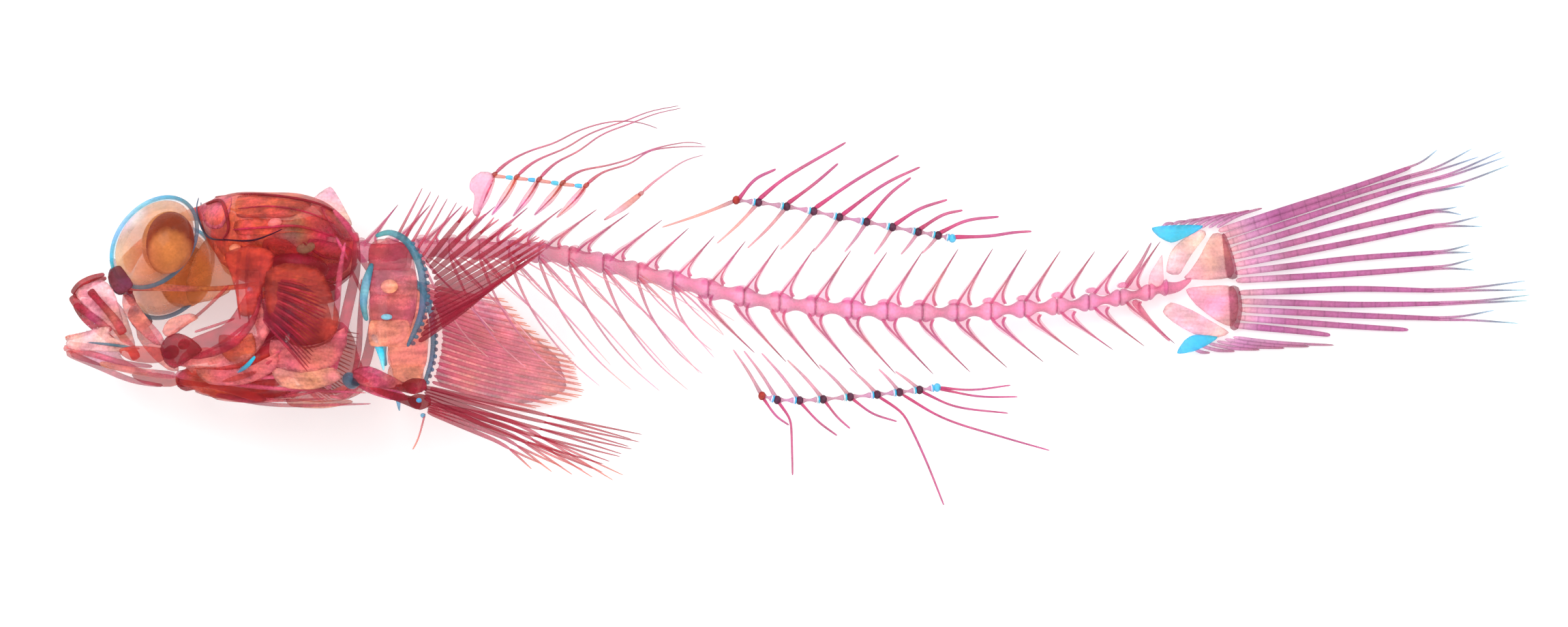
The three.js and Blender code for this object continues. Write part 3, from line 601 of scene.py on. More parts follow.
def finish(bone, name, material, nodes, levels=1):
    """Lays the piece on the table, smooths it and ties it to the frame."""
    bm = bone.bm
    for v in bm.verts:
        at = lay(v.co)
        v.co = Vector((at.x, at.y, max(at.z, 0.0))) * MM
    bmesh.ops.recalc_face_normals(bm, faces=bm.faces)
    for face in bm.faces:
        face.smooth = True
    piece = put(name, to_mesh(bm, name))
    piece.data.materials.append(material)
    smooth = piece.modifiers.new("smooth", "SUBSURF")
    smooth.levels = smooth.render_levels = levels
    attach(piece, "root")
    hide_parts(*nodes)
    tally[name] = len(piece.data.polygons) * 4**levels


# %% [markdown]
# ## The column
#
# Each vertebra is an hourglass with its two wide ends on its neighbours. Above
# it an arch closes over the nerve cord and runs up into a spine, and below it,
# behind the belly, a second arch does the same for the blood vessels. A lathe
# turns the hourglass best, and here the bar does the same with a ring at each
# change of width.

# %% Find the joints between the vertebrae
FRONT_VERTEBRAE = 7
MIDDLE_START = 43.2
vertebra_length = through([(43.2, 2.9), (52, 3.0), (67, 3.05), (78, 2.85), (89, 2.6), (92, 2.3)])
joints = [mix(SKULL_END + 0.12, MIDDLE_START, i / FRONT_VERTEBRAE)
          for i in range(FRONT_VERTEBRAE + 1)]
while joints[-1] < TAIL_JOINT - 1.5:
    joints.append(joints[-1] + vertebra_length(joints[-1]))
joints[-1] = TAIL_JOINT


def joint_after(x):
    return next(i for i, joint in enumerate(joints) if joint >= x)


FIRST_RIB = joint_after(30)
RIB_END = joint_after(54)
BODY_CUT = joint_after(75)
LAST = len(joints) - 1
print("vertebrae:", LAST + 1)

# %% Turn the bodies of the vertebrae
end_radius = through([(25.3, 0.95), (45, 0.95), (60, 0.95), (80, 0.88), (94, 0.78)])
waist_radius = through([(25.3, 0.68), (50, 0.62), (65, 0.48), (85, 0.36), (94, 0.36)])
TAIL_DYE = 58  # from here on the column is plain pink
DYE_FADE = 18  # the length over which it turns redder before that
HEAD_RED = 0.7  # how near to crimson it is in front of that
HOURGLASS = [0.7, 1.0, 0.8, 0.25, 0.0, 0.0, 0.25, 0.8, 1.0, 0.7]


def deepened(colour, x):
    """The column's dye at x: redder towards the head."""
    return mix(colour, CRIMSON, HEAD_RED * (1 - ease(x, TAIL_DYE - DYE_FADE, TAIL_DYE)))


def vertebra(bone, i):
    """An hourglass, pale where it is wide and dark at its ends and waist, with painted shade darkening its
    rim as seen from above.
    """
    start, end = joints[i] - 0.1, joints[i + 1] + 0.1
    rings = len(HOURGLASS) - 1
    for v in bone.take(unit_bar(12, rings)):
        ring = round(v.co.z * rings)
        share = HOURGLASS[ring]
        x = mix(start, end, v.co.z)
        r = mix(waist_radius(x), end_radius(x), share)
        colour = WINE if ring in (0, rings) else mix(MAGENTA, PINK, share)
        # painted shade: the dye is lightened at the middle and darkened twice towards the outline as seen
        # from above, over the dark ends and waist
        v[bone.dye] = (*(thick_rim_shaded(deepened(colour, x), v.co.y) * mix(1.1, 0.8, abs(v.co.y))), 1)
        v.co = Vector((x, column_height(x) + v.co.y * r, v.co.x * r))


# %% Raise the spines above and below
neural_tip = through([(30, 9.3), (38.3, 9.1), (48.6, 8.6), (56, 6.6), (61.3, 5.9),
                      (70, 5.3), (78, 5.6), (90.5, 5.4), (92.8, 6.2)])
neural_lean = through([(25, 2.2), (36, 2.9), (46, 3.9), (54, 2.5), (70, 2.5), (90, 2.3)])
neural_setback = through([(25, 1.0), (46, 1.3), (58, 0.7), (80, 0.7), (88, 1.2)])
haemal_tip = through([(59, -3.4), (64.3, -4.8), (71, -5.2), (77, -5.1), (83, -4.3),
                      (89.2, -3.2), (94.6, -2.6)])
haemal_setback = through([(54, -0.2), (64, 0.1), (76, 0.5), (86, 1.1), (92, 1.3)])
haemal_lean = through([(54, 4.3), (60, 3.6), (70, 3.7), (84, 3.9), (91, 3.5)])


def spine(bone, web, foot, tip, up):
    """A spine of four lines that meet above a clear, flared foot. up is 1 above the column, -1 below."""
    (x, y), (tip_x, tip_y) = foot, tip
    knee = Vector((mix(x, tip_x, 0.22), mix(y, tip_y, 0.36), 0))
    middle = Vector((mix(x, tip_x, 0.6), mix(y, tip_y, 0.68), 0))
    for s in (1, -1):
        for step in (-0.75, 0.6):
            apart = Vector((step * 0.14, 0, 0.08 * s))
            rod(bone, [(x + step, y, 0.45 * s), Vector((x + step * 0.4, mix(y, knee.y, 0.4), 0.25 * s)),
                       knee + apart, middle + apart * 0.4, (tip_x, tip_y, 0)],
                [0.15, 0.09, 0.08, 0.07, 0.03], [MAGENTA, DUSTY, DUSTY, WINE], sides=5, rings=9)
    rod(web, [(x - 0.1, y - 0.1 * up, 0), Vector((x, mix(y, knee.y, 0.4), 0)), knee, middle],
        [0.8, 0.5, 0.28, 0.2, 0.12], [deepened(PINK, x), deepened(BLUSH, x)], sides=8, rings=7, flat=0.45)


def neural_spine(bone, web, joint):
    x = joint + neural_setback(joint)
    y = column_height(x)
    tip_x = x + neural_lean(x)
    spine(bone, web, (x, y + 0.5), (tip_x, neural_tip(tip_x)), 1)
    for s in (1, -1):
        lump(web, (x - 0.95, y + 0.85, 0.35 * s), (0.55, 0.3, 0.16), deepened(PINK, x), turn=12,
             around=8, rings=5)


def haemal_spine(bone, web, joint):
    x = joint + haemal_setback(joint)
    y = column_height(x)
    tip_x = x + haemal_lean(x)
    spine(bone, web, (x, y - 0.5), (tip_x, haemal_tip(tip_x)), -1)


def column_piece(name, first, last, nodes, haemal):
    bodies, spines, webs = Bone(), Bone(), Bone()
    for i in range(first, last):
        vertebra(bodies, i)
        neural_spine(spines, webs, joints[i])
        if haemal:
            haemal_spine(spines, webs, joints[i])
    finish(bodies, name + "_bodies", COLUMN_BONE, nodes)
    finish(spines, name + "_spines", SPINE_BONE, nodes)
    finish(webs, name + "_webs", VEIL_BONE, nodes)


column_piece("trunk", 0, RIB_END, ["trunk_left", "trunk_right"], False)
column_piece("tail_front", RIB_END, BODY_CUT, ["tail_vertebrae_front"], True)
column_piece("tail_rear", BODY_CUT, LAST - 1, ["tail_vertebrae_rear"], True)
print("column faces:", sum(tally.values()))

# %% [markdown]
# ## Ribs
#
# A rib hangs from the side of a vertebra and bows round the belly. A second,
# straighter row of fine bones points back between the muscles. They are no
# thicker than a hair, so a bar of six sides is plenty.

# %% Hang the ribs
rib_length = through([(30, 9), (38, 12.2), (46, 11.6), (50, 8), (53, 4.6)])
for side, s in SIDES:
    ribs = Bone()
    for i, joint in enumerate(joints[FIRST_RIB:RIB_END]):
        y = column_height(joint) - 0.5
        long = rib_length(joint)
        rod(ribs, flipped([(joint, y, 0.4),
                           (joint + 0.16 * long, y - 0.26 * long, 3.1),
                           (joint + 0.42 * long, y - 0.58 * long, 4.3),
                           (joint + 0.68 * long, y - 0.84 * long, 3.5)], s),
            [0.2, 0.11, 0.09, 0.04], [ROSE, DUSTY, BLUSH])
        rod(ribs, flipped([(joint, y + 0.3, 0.4), (joint + 2.2, y - 1.7, 2.3),
                           (joint + 4.9, y - 3.6, 3.4)], s),
            [0.1, 0.07, 0.03], [DUSTY, BLUSH])
    finish(ribs, f"ribs_{side}", SPINE_BONE, [f"trunk_{side}"])

# %% [markdown]
# ## Tail fin
#
# The last vertebra turns up into the urostyle, and two fan-shaped plates, the
# hypurals, stand behind it with the rays on their edge. The upper and lower pad
# of cartilage hold the crowd of short rays in front. The rays fork near their
# ends, where the dye turns from red to blue.

# %% Build the plates at the end of the column
end_bones = Bone()
vertebra(end_bones, LAST - 1)
rod(end_bones, level([(93.8, 2.15), (95.0, 2.25), (96.2, 3.0)]), [0.75, 0.5, 0.2], [MAGENTA, ROSE])
plate(end_bones, level([(92.4, 1.9), (92.5, 3.3), (93.2, 4.4), (93.75, 5.3), (93.8, 3.6), (93.9, 2.1)]),
      0.3, BLUSH, ROSE)
rod(end_bones, level([(90.6, 2.3), (91.8, 4.2), (92.8, 6.1)]), [0.4, 0.2, 0.1], [ROSE, WINE], flat=0.5)
rod(end_bones, level([(91.2, 1.2), (92.6, -0.6), (94.4, -2.4)]), [0.4, 0.24, 0.14], [ROSE], flat=0.5)
finish(end_bones, "urostyle_bone", COLUMN_BONE, ["urostyle"])

PADS = {
    "upper": [(92.4, 7.4), (94.6, 7.6), (97.6, 7.6), (96.6, 6.9), (95.4, 6.3), (94.4, 5.9), (93.2, 6.5)],
    "lower": [(94.6, -3.6), (95.5, -2.2), (96.4, -1.7), (98.8, -1.9), (97.8, -2.6), (96.4, -3.3)],
}
for name, outline in PADS.items():
    pad = Bone()
    plate(pad, level(outline), 0.4, CYAN)
    finish(pad, f"{name}_pad", CARTILAGE, [f"{name}_tail_cartilage"])

# The fan, the dark band along its rear edge and the slim plate in front: thickness and dyes.
HYPURAL_FINISH = [(0.35, SHRIMP, mix(SHRIMP, ROSE, 0.5)), (0.42, WINE, MAROON), (0.3, BLUSH, ROSE)]
HYPURALS = {
    "upper": [
        [(95.1, 2.72), (95.9, 3.5), (96.8, 4.8), (97.5, 6.2), (98.0, 7.0), (98.95, 7.0), (99.7, 5.0),
         (100.15, 2.78)],
        [(98.7, 7.0), (99.1, 6.9), (99.8, 5.0), (100.3, 2.8), (99.1, 2.8), (98.9, 5.0)],
        [(93.8, 3.3), (94.2, 5.2), (95.2, 6.3), (97.1, 7.4), (97.7, 6.9), (96.4, 5.3), (95.6, 4.0),
         (95.1, 3.1)],
    ],
    "lower": [
        [(95.3, 2.2), (97.0, 2.45), (100.1, 2.55), (100.4, 0.4), (99.9, -1.4), (98.4, -0.8), (96.4, 0.7)],
        [(99.2, 2.5), (100.3, 2.5), (100.65, 0.4), (100.2, -1.6), (99.4, -1.5), (99.4, 0.4)],
        [(93.4, 0.2), (94.2, 1.2), (96.2, 0.4), (98.4, -0.9), (99.8, -1.7), (98.6, -2.2), (96.4, -1.9),
         (94.4, -0.7)],
    ],
}
for name, outlines in HYPURALS.items():
    hypural = Bone()
    for outline, (thick, colour, rim) in zip(outlines, HYPURAL_FINISH):
        plate(hypural, level(outline), thick, colour, rim)
    finish(hypural, f"{name}_hypural", THIN_BONE, [f"{name}_hypural_and_rays"])

# %% Fan out the tail rays
# Each ray: height at its root, height at x = 110, where its shaft ends, and the tips of its branches.
UPPER_RAYS = [
    (7.0, 10.75, (115, 12.5), (117.2, 14.0)),
    (6.5, 10.2, (115, 11.75), (120.2, 14.1), (120.8, 13.4)),
    (5.95, 9.5, (115, 11.0), (122.8, 13.9), (123.1, 13.4)),
    (5.35, 8.55, (116, 10.35), (123.4, 12.7), (119.6, 10.9)),
    (4.75, 7.3, (117, 8.8), (118.9, 9.1), (119.3, 8.4)),
    (4.1, 6.1, (117, 7.5), (120.8, 8.3), (121.1, 7.4)),
    (3.45, 4.7, (117, 5.2), (120.0, 5.9), (120.1, 5.2)),
    (2.8, 3.4, (117, 3.9), (120.3, 4.7), (120.4, 3.7)),
]
LOWER_RAYS = [
    (1.75, 2.1, (117, 1.95), (124.8, 2.8), (124.9, 2.0)),
    (1.05, 0.75, (117.5, 0.85), (125.2, 1.6), (125.0, 1.1)),
    (0.35, -0.15, (117.5, -0.45), (122.1, 0.3), (124.2, -0.85)),
    (-0.35, -1.1, (114.8, -1.4)),
    (-1.0, -1.95, (108.1, -1.85)),
]
ray_root_x = through([(-1.6, 99.6), (0.4, 100.2), (2.7, 99.9), (5, 99.5), (7.2, 98.3)])


def tail_ray(bone, y0, y10, end, *tips):
    x0 = ray_root_x(y0)
    shaft = [(x0, y0), (105, mix(y0, y10, (105 - x0) / (110 - x0)))]
    if end[0] > 111:
        shaft.append((110, y10))
    shaft.append(end)
    split_rod(bone, shaft, 0.12, [0.3, 0.33, 0.34, 0.33, 0.31, 0.29, 0.26, 0.19],
              [BLUSH, MAUVE] + [PLUM] * 6, rings=14, flat=0.35)
    path, _ = path_through(level(shaft))
    for side, tip in zip((0.08, -0.08), tips):
        turn = Vector((mix(end[0], tip[0], 0.4), mix(end[1], tip[1], 0.3), 0))
        aside = Vector((0, side, 0))
        rod(bone, [path(0.86) + aside, path(0.98) + aside, turn, (*tip, 0)], [0.1, 0.16, 0.12, 0.1, 0.05],
            [PLUM, PLUM, PLUM, SLATE, SKY_BLUE], rings=8, flat=0.8)


def short_rays(bone, count, roots, tips, bow):
    for i in range(count):
        u = i / (count - 1)
        root = [mix(roots[0][k], roots[1][k], u) for k in (0, 1)]
        tip = [mix(tips[0][k], tips[1][k], u) for k in (0, 1)]
        middle = (mix(root[0], tip[0], 0.45), mix(root[1], tip[1], 0.5) + bow, 0)
        rod(bone, [(*root, 0), middle, (*tip, 0)], [0.18, 0.2, 0.1], [MAUVE, PLUM, WINE])


UPPER_SHORT = (8, ((93.6, 7.2), (98.3, 7.3)), ((94.7, 7.7), (102.3, 9.0)), 0.2)
LOWER_SHORT = (6, ((96.3, -2.9), (99.6, -2.0)), ((97.8, -3.35), (108.5, -2.7)), -0.15)
for name, rays, short in (("upper", UPPER_RAYS, UPPER_SHORT), ("lower", LOWER_RAYS, LOWER_SHORT)):
    bone = Bone()
    for ray in rays:
        tail_ray(bone, *ray)
    short_rays(bone, *short)
    finish(bone, f"{name}_tail_rays", TAIL_RAY_BONE, [f"{name}_hypural_and_rays"])
print("tail rays:", len(UPPER_RAYS) + len(LOWER_RAYS))

# %% [markdown]
# ## Fins of the back and belly
#
# Each spine or ray stands on a support that reaches down between the spines of
# the column. In the first fin of the back the supports are broad blades with a
# bar between them, tipped with cartilage. In the second and in the belly fin a
# dark joint, a blue disc and a pinched bar follow one another in a row.

# %% Set up the first fin of the back
FIRST_HEADS = [(36.8, 11.7), (38.7, 11.5), (40.6, 11.3), (42.6, 11.0), (44.6, 10.8)]
FIRST_FEET = [(35.3, 8.2), (36.6, 8.3), (38.4, 8.2), (40.2, 8.3), (42.1, 8.1)]
FIRST_SPINES = [
    [(36.9, 11.9), (38, 12.9), (40, 13.9), (42, 14.5), (43.6, 15.4), (46, 16.2), (47.8, 16.4), (49.5, 16.2),
     (50.8, 15.7)],
    [(38.8, 11.7), (40, 12.8), (41.5, 13.5), (43, 14.1), (44.7, 15.2), (46.5, 15.9), (48, 16.4), (50, 17.2),
     (52.6, 17.7)],
    [(40.7, 11.5), (42, 12.8), (44, 13.8), (45.9, 15.2), (48.5, 16.2), (50.5, 17), (52.8, 17.5)],
    [(42.7, 11.2), (44, 12.1), (46.5, 12.6), (48.5, 13.2), (50, 13.9), (52, 14.4), (53.5, 14.6),
     (54.6, 14.4)],
    [(44.7, 11.0), (46, 12), (48.5, 12.8), (49.9, 13.8), (51.5, 14.1), (53, 14.2), (54.9, 14.2)],
]


def blade(bone, foot, head, wide, dyes):
    """A fin support: a point at its foot, a broad thin middle and a neck."""
    rod(bone, [(*foot, 0), (mix(foot[0], head[0], 0.55), mix(foot[1], head[1], 0.5), 0), (*head, 0)],
        [0.1, 0.6 * wide, wide, 0.9 * wide, 0.28], dyes, rings=6, flat=0.4)


first_fin, first_blue, first_joints = Bone(), Bone(), Bone()
for foot, head in zip(FIRST_FEET, FIRST_HEADS):
    blade(first_fin, foot, head, 0.42, [MAUVE, BLUSH, BLUSH, SALMON])
    middle = (mix(foot[0], head[0], 0.7), mix(foot[1], head[1], 0.62), 0.14)
    rod(first_joints, [(*foot, 0.1), middle, (*head, 0.1)], [0.04, 0.07, 0.14], [DUSTY, BRICK], rings=5)
    lump(first_joints, (head[0] + 0.05, head[1] + 0.1, 0), (0.36, 0.24, 0.26), BRICK, turn=40)
plate(first_fin, level([(34.6, 10.6), (34.8, 11.5), (35.7, 12.2), (36.9, 12.0), (36.9, 11.2), (36.2, 10.3),
                        (35.9, 8.9), (35.4, 7.9), (34.9, 8.4), (35.2, 10.0)]), 0.3, BLUSH, SALMON)
for (x0, y0), (x1, y1) in zip(FIRST_HEADS, FIRST_HEADS[1:]):
    rod(first_fin, [(x0, y0, 0), (mix(x0, x1, 0.55), mix(y0, y1, 0.55), 0)], [0.22, 0.16], [SALMON, ORANGE])
    rod(first_blue, [(mix(x0, x1, t), mix(y0, y1, t), 0) for t in (0.52, 0.86)], [0.17, 0.24, 0.22], [CYAN])
for points in FIRST_SPINES:
    split_rod(first_fin, points, 0.06, [0.22, 0.1, 0.09, 0.08, 0.07, 0.05, 0.03],
              [ROSE, DUSTY, DUSTY, WINE], rings=14, flat=0.7)
finish(first_fin, "first_fin_bones", SPINE_BONE, ["first_dorsal_fin"])
finish(first_blue, "first_fin_blue", CARTILAGE, ["first_dorsal_fin"])
finish(first_joints, "first_fin_joints", THICK_BONE, ["first_dorsal_fin"])

sixth = Bone()
blade(sixth, (46.1, 7.9), (49.3, 10.2), 0.34, [ROSE, BLUSH, SALMON, ORANGE])
lump(sixth, (49.3, 10.2, 0), (0.32, 0.22, 0.24), BRICK, turn=30)
rod(sixth, level([(49.4, 10.3), (50.4, 11.2), (51.5, 12), (52.8, 12.9), (54, 13.35), (54.7, 13.5)]),
    [0.18, 0.1, 0.08, 0.04], [ROSE, DUSTY, WINE], rings=8)
finish(sixth, "sixth_spine_bones", SPINE_BONE, ["sixth_dorsal_spine"])

# %% Set up the second fin of the back and the fin of the belly
SECOND_HEADS = [
    (57.4, 9.65), (59.3, 9.45), (61.7, 9.1), (64.0, 8.7), (66.2, 8.2), (68.5, 7.8), (70.7, 7.35),
    (72.9, 6.95), (74.6, 6.65), (75.8, 6.4),
]
SECOND_FEET = [
    (51.0, 7.3), (55.7, 5.9), (58.3, 5.5), (61.1, 5.4), (63.9, 5.2), (66.6, 5.2), (69.1, 5.0),
    (71.4, 5.0), (73.2, 5.1),
]
SECOND_RAYS = [
    [(57.5, 9.6), (59, 11.4), (60.8, 12.3)],
    [(59.2, 9.6), (61.5, 11.5), (66.8, 14.6)],
    [(61.7, 9.3), (64, 11), (66.1, 12.8)],
    [(64.0, 8.9), (67.5, 11.3), (71.3, 13.5)],
    [(66.3, 8.3), (70, 11), (73.1, 12.5)],
    [(68.5, 7.9), (70.5, 10.2), (72.3, 11.6)],
    [(70.8, 7.5), (73, 8.9), (75.4, 9.7)],
    [(72.9, 7.1), (75, 8.4), (76.7, 8.8)],
    [(74.6, 6.8), (77, 7.9), (79.8, 8.25)],
    [(75.8, 6.5), (79, 6.6), (81, 6.9), (82.6, 7)],
]
BELLY_HEADS = [
    (59.6, -7.0), (60.9, -7.35), (62.8, -7.4), (64.8, -7.3), (67.1, -7.1), (69.4, -6.9), (71.3, -6.7),
    (73.0, -6.5), (74.5, -6.3),
]
BELLY_FEET = [
    (57.1, -3.0), (58.0, -3.1), (59.5, -3.3), (61.7, -3.9), (64.4, -4.3), (67.0, -4.6), (69.5, -4.7),
    (70.9, -4.9),
]
BELLY_RAYS = [
    [(59.7, -7.2), (60.8, -8.7), (61.9, -9.5)],
    [(60.9, -7.4), (61.9, -8.8), (62.05, -9.2), (62.15, -11.6), (62.2, -13.8)],
    [(62.8, -7.5), (64.4, -9.2), (66, -10.4)],
    [(64.9, -7.4), (66, -8.8), (67.1, -9.8)],
    [(67.2, -7.2), (69, -8.5), (71.1, -9.2)],
    [(69.4, -7.0), (71.4, -8.3), (71.8, -8.8), (73.5, -12.4), (75.1, -16.4)],
    [(71.4, -6.8), (75, -8.9), (80, -10.5), (84.2, -11.7)],
    [(73.1, -6.6), (76, -7.9), (80.6, -8.5)],
    [(74.6, -6.4), (78, -7.05), (81.4, -7.1)],
    [(74.6, -6.3), (77.5, -6.5), (80.8, -6.1)],
]


def jointed_fin(name, node, feet, heads, rays, paler, thick):
    bones, blue, dark, shafts = Bone(), Bone(), Bone(), Bone()
    for i, (foot, head) in enumerate(zip(feet, heads)):
        warm = mix(paler, DUSTY, min(i / 4, 1))
        blade(bones, foot, head, 0.17, [mix(warm, BLUSH, 0.3), warm, warm, WINE])
    for i, (x, y) in enumerate(heads):
        last = i == len(heads) - 1
        colour = CYAN if last else DUSK if i else BRICK
        lump(blue if last else dark, (x, y, 0), (0.36, 0.42, 0.36), colour)
        if i == 0:
            continue
        before = Vector((*heads[i - 1], 0))
        back = Vector((x - heads[i - 1][0], y - heads[i - 1][1], 0)).normalized()
        disc = Vector((x, y, 0)) - back * 0.42
        pinched = [before + back * 0.2, (before + disc) / 2, disc - back * 0.1]
        rod(bones, pinched, [0.4, 0.15, 0.12, 0.2, 0.42], [WINE, PLUM, PLUM], rings=6)
        rod(blue, [disc - back * 0.13, disc], [0.4], [SHELL])
        rod(blue, [disc, disc + back * 0.14], [0.4], [CYAN])
    for points in rays:
        split_rod(shafts, points, 0.1, [1.5 * thick, thick, thick, 0.9 * thick, 0.7 * thick],
                  [MAGENTA, HOT_PINK, HOT_PINK], rings=12, flat=0.5)
    finish(bones, name + "_supports", SPINE_BONE, [node])
    finish(blue, name + "_discs", CARTILAGE, [node])
    finish(dark, name + "_joints", JOINT_INK, [node])
    finish(shafts, name + "_rays", RAY_BONE, [node])


jointed_fin("second_fin", "second_dorsal_fin", SECOND_FEET, SECOND_HEADS, SECOND_RAYS, SALMON, 0.17)
jointed_fin("belly_fin", "anal_fin", BELLY_FEET, BELLY_HEADS, BELLY_RAYS, DUSTY, 0.11)
print("rays on the back:", len(SECOND_RAYS), "and belly:", len(BELLY_RAYS))

# %% [markdown]
# ## Shoulders and paired fins
#
# Behind the gill cover a curved bone, the cleithrum, carries four broad plates,
# and the fan of the pectoral fin stands on their rear edge. Cartilage, which is
# blue, still joins them. The left fin is folded back along the body, and the
# right one lies spread on the table, so each gets its own rays.

# %% Build the shoulders
FIN_OUT = 6.3
ARC_BEADS = 16
CLEITHRUM = [
    (25.7, 5.6, 4.4), (25.9, 2.0, 5.8), (25.3, -1.5, 6.3), (24.4, -4.5, 5.1), (23.4, -6.3, 2.8),
    (22.9, -6.7, 0.8),
]
PLATE_BACKING = [
    (26.7, 4.4, 6.0), (28.6, 4.9, 6.0), (30.4, 3.9, 6.1), (31.0, 1.0, 6.1), (30.9, -1.8, 6.1),
    (30.0, -4.6, 6.0), (28.0, -5.2, 6.0), (27.0, -2.0, 6.0),
]
LEFT_TINTS = [CRIMSON, mix(RUST, DUSTY, 0.5), mix(BRICK, DUSTY, 0.4), SALMON]
RIGHT_TINTS = [SALMON, PEACH, PEACH, SALMON]


def radial_outline(x0, x1, y, w):
    waist = mix(x0, x1, 0.45)
    return level([(x0, y - 1.25), (waist, y - 1.2), (x1, y - 1.35), (x1 + 0.15, y), (x1, y + 1.35),
                  (waist, y + 1.15), (x0, y + 1.25), (x0 - 0.15, y)], w)


for side, s, tints in (("left", 1, LEFT_TINTS), ("right", -1, RIGHT_TINTS)):
    arch, gristle, radials = Bone(), Bone(), Bone()
    rod(arch, flipped(CLEITHRUM, s), [0.25, 0.42, 0.5, 0.5, 0.4, 0.3],
        [CRIMSON, MAROON, CRIMSON, ROSE, ROSE], sides=8, rings=16, flat=0.35)
    rod(arch, flipped([(24.9, 4.6, 5.0), (24.6, 1.4, 6.2), (24.4, -1.8, 6.4), (23.9, -4.4, 5.0)], s),
        [0.12, 0.3, 0.34, 0.16], [ROSE, CRIMSON], rings=8, flat=0.3)
    rod(arch, flipped([(23.7, 7.6, 4.0), (25.0, 6.0, 4.8), (26.0, 4.5, 5.0)], s), [0.2, 0.34, 0.3],
        [ROSE, CRIMSON], flat=0.4)
    rod(arch, flipped([(24.0, 5.2, 4.2), (25.3, 2.6, 5.9)], s), [0.14, 0.2, 0.1], [ROSE, CRIMSON])
    finish(arch, f"cleithrum_{side}_bone", THIN_BONE, [f"cleithrum_{side}"])

    rod(gristle, flipped([(27.3, 2.4, 6.2), (26.8, 0.6, 6.35), (26.6, -1.4, 6.3), (26.9, -2.6, 6.2)], s),
        [0.2, 0.42, 0.36, 0.2], [TEAL, mix(SKY_BLUE, TEAL, 0.5), TEAL], sides=8, rings=8, flat=0.35)
    rod(gristle, flipped([(27.2, -3.6, 6.0), (27.9, -4.8, 5.9), (28.2, -6.6, 5.6)], s), [0.38, 0.38, 0.08],
        [SLATE, CYAN, SKY_BLUE], rings=6, flat=0.35)
    lump(gristle, (28.5, -2.3, 6.5 * s), (0.5, 0.28, 0.12), SKY_BLUE)
    finish(gristle, f"coracoid_{side}_gristle", DULL_CARTILAGE, [f"coracoid_cartilage_{side}"])

    for i in range(4):
        x1 = 30.9 - 0.35 * abs(i - 1.4)
        plate(radials, radial_outline(27.0, x1, 2.9 - 2.15 * i, FIN_OUT * s), 0.3, tints[i],
              mix(tints[i], MAROON, 0.4))
    lump(radials, (28.7, 0.3, (FIN_OUT + 0.15) * s), (0.75, 0.65, 0.12), PEACH)
    plate(radials, flipped(PLATE_BACKING, s), 0.2 * s, tints[1], tints[0])
    finish(radials, f"pectoral_radials_{side}_plates", THIN_BONE, [f"pectoral_radials_{side}"],
           2)

    band = Bone()
    arc = flipped([(27.5, 4.6, 6.2), (28.6, 4.95, FIN_OUT), (30.0, 4.2, FIN_OUT), (31.0, 2.2, FIN_OUT),
                   (31.3, 0.0, FIN_OUT), (31.1, -2.2, FIN_OUT), (30.1, -4.8, FIN_OUT)], s)
    rod(band, arc, [0.2, 0.34, 0.34, 0.32, 0.3, 0.28, 0.15], [TEAL, TEAL, SLATE, SLATE, SLATE],
        sides=8, rings=22, flat=0.7)
    path, _ = path_through(arc)
    for i in range(ARC_BEADS):
        bead = path(mix(0.25, 0.97, i / (ARC_BEADS - 1)))
        lump(band, bead + Vector((0.3, 0, 0)), (0.22, 0.2, 0.2), mix(SLATE, MAROON, i % 2 * 0.6))
    finish(band, f"fin_base_{side}", DULL_CARTILAGE, [f"pectoral_radials_{side}"])

# %% Fan out the pectoral fins
PECTORAL_RAYS = 19
FREE_RAYS = 5  # the uppermost, which stand apart without a web
root_x = through([(0, 29.2), (0.3, 31.5), (0.6, 31.9), (1, 30.8)])
root_y = through([(0, 4.6), (0.5, 0.4), (1, -4.4)])
left_tip_x = through([(0, 30.8), (0.25, 34.2), (0.5, 39.0), (0.75, 41.4), (1, 37.6)])
left_tip_y = through([(0, 10.7), (0.25, 9.3), (0.5, 7.3), (0.75, 5.7), (1, 2.9)])
right_tip_x = through([(0, 37.8), (0.25, 41.6), (0.5, 44.2), (0.75, 44.6), (1, 40.6)])
right_tip_y = through([(0, 1.2), (0.25, -2.2), (0.5, -4.8), (0.75, -6.9), (1, -8.6)])


def on_table(x, y):
    """The point of the straight frame that shows at x, y and lies just above the table."""
    point = seen(x, y, -9)
    for _ in range(6):  # it comes nearer each time
        point = seen(x, y, resting_at(point.x, point.y, 0.2))
    return point


def forked_ray(bone, root, middle, tips, radius, dyes, stretch=0.62):
    """A fin ray that splits into its two branches at a share of its length."""
    fork = Vector(middle).lerp((tips[0] + tips[1]) / 2, stretch)
    rod(bone, [root, middle, fork], [radius, radius, 0.7 * radius], dyes[:2], rings=7, flat=0.6)
    for tip in tips:
        start = Vector(middle).lerp(fork, 0.8)
        rod(bone, [start, fork.lerp(tip, 0.3), tip], [0.5 * radius, 0.5 * radius, 0.2 * radius], dyes[1:],
            rings=5, flat=0.7)


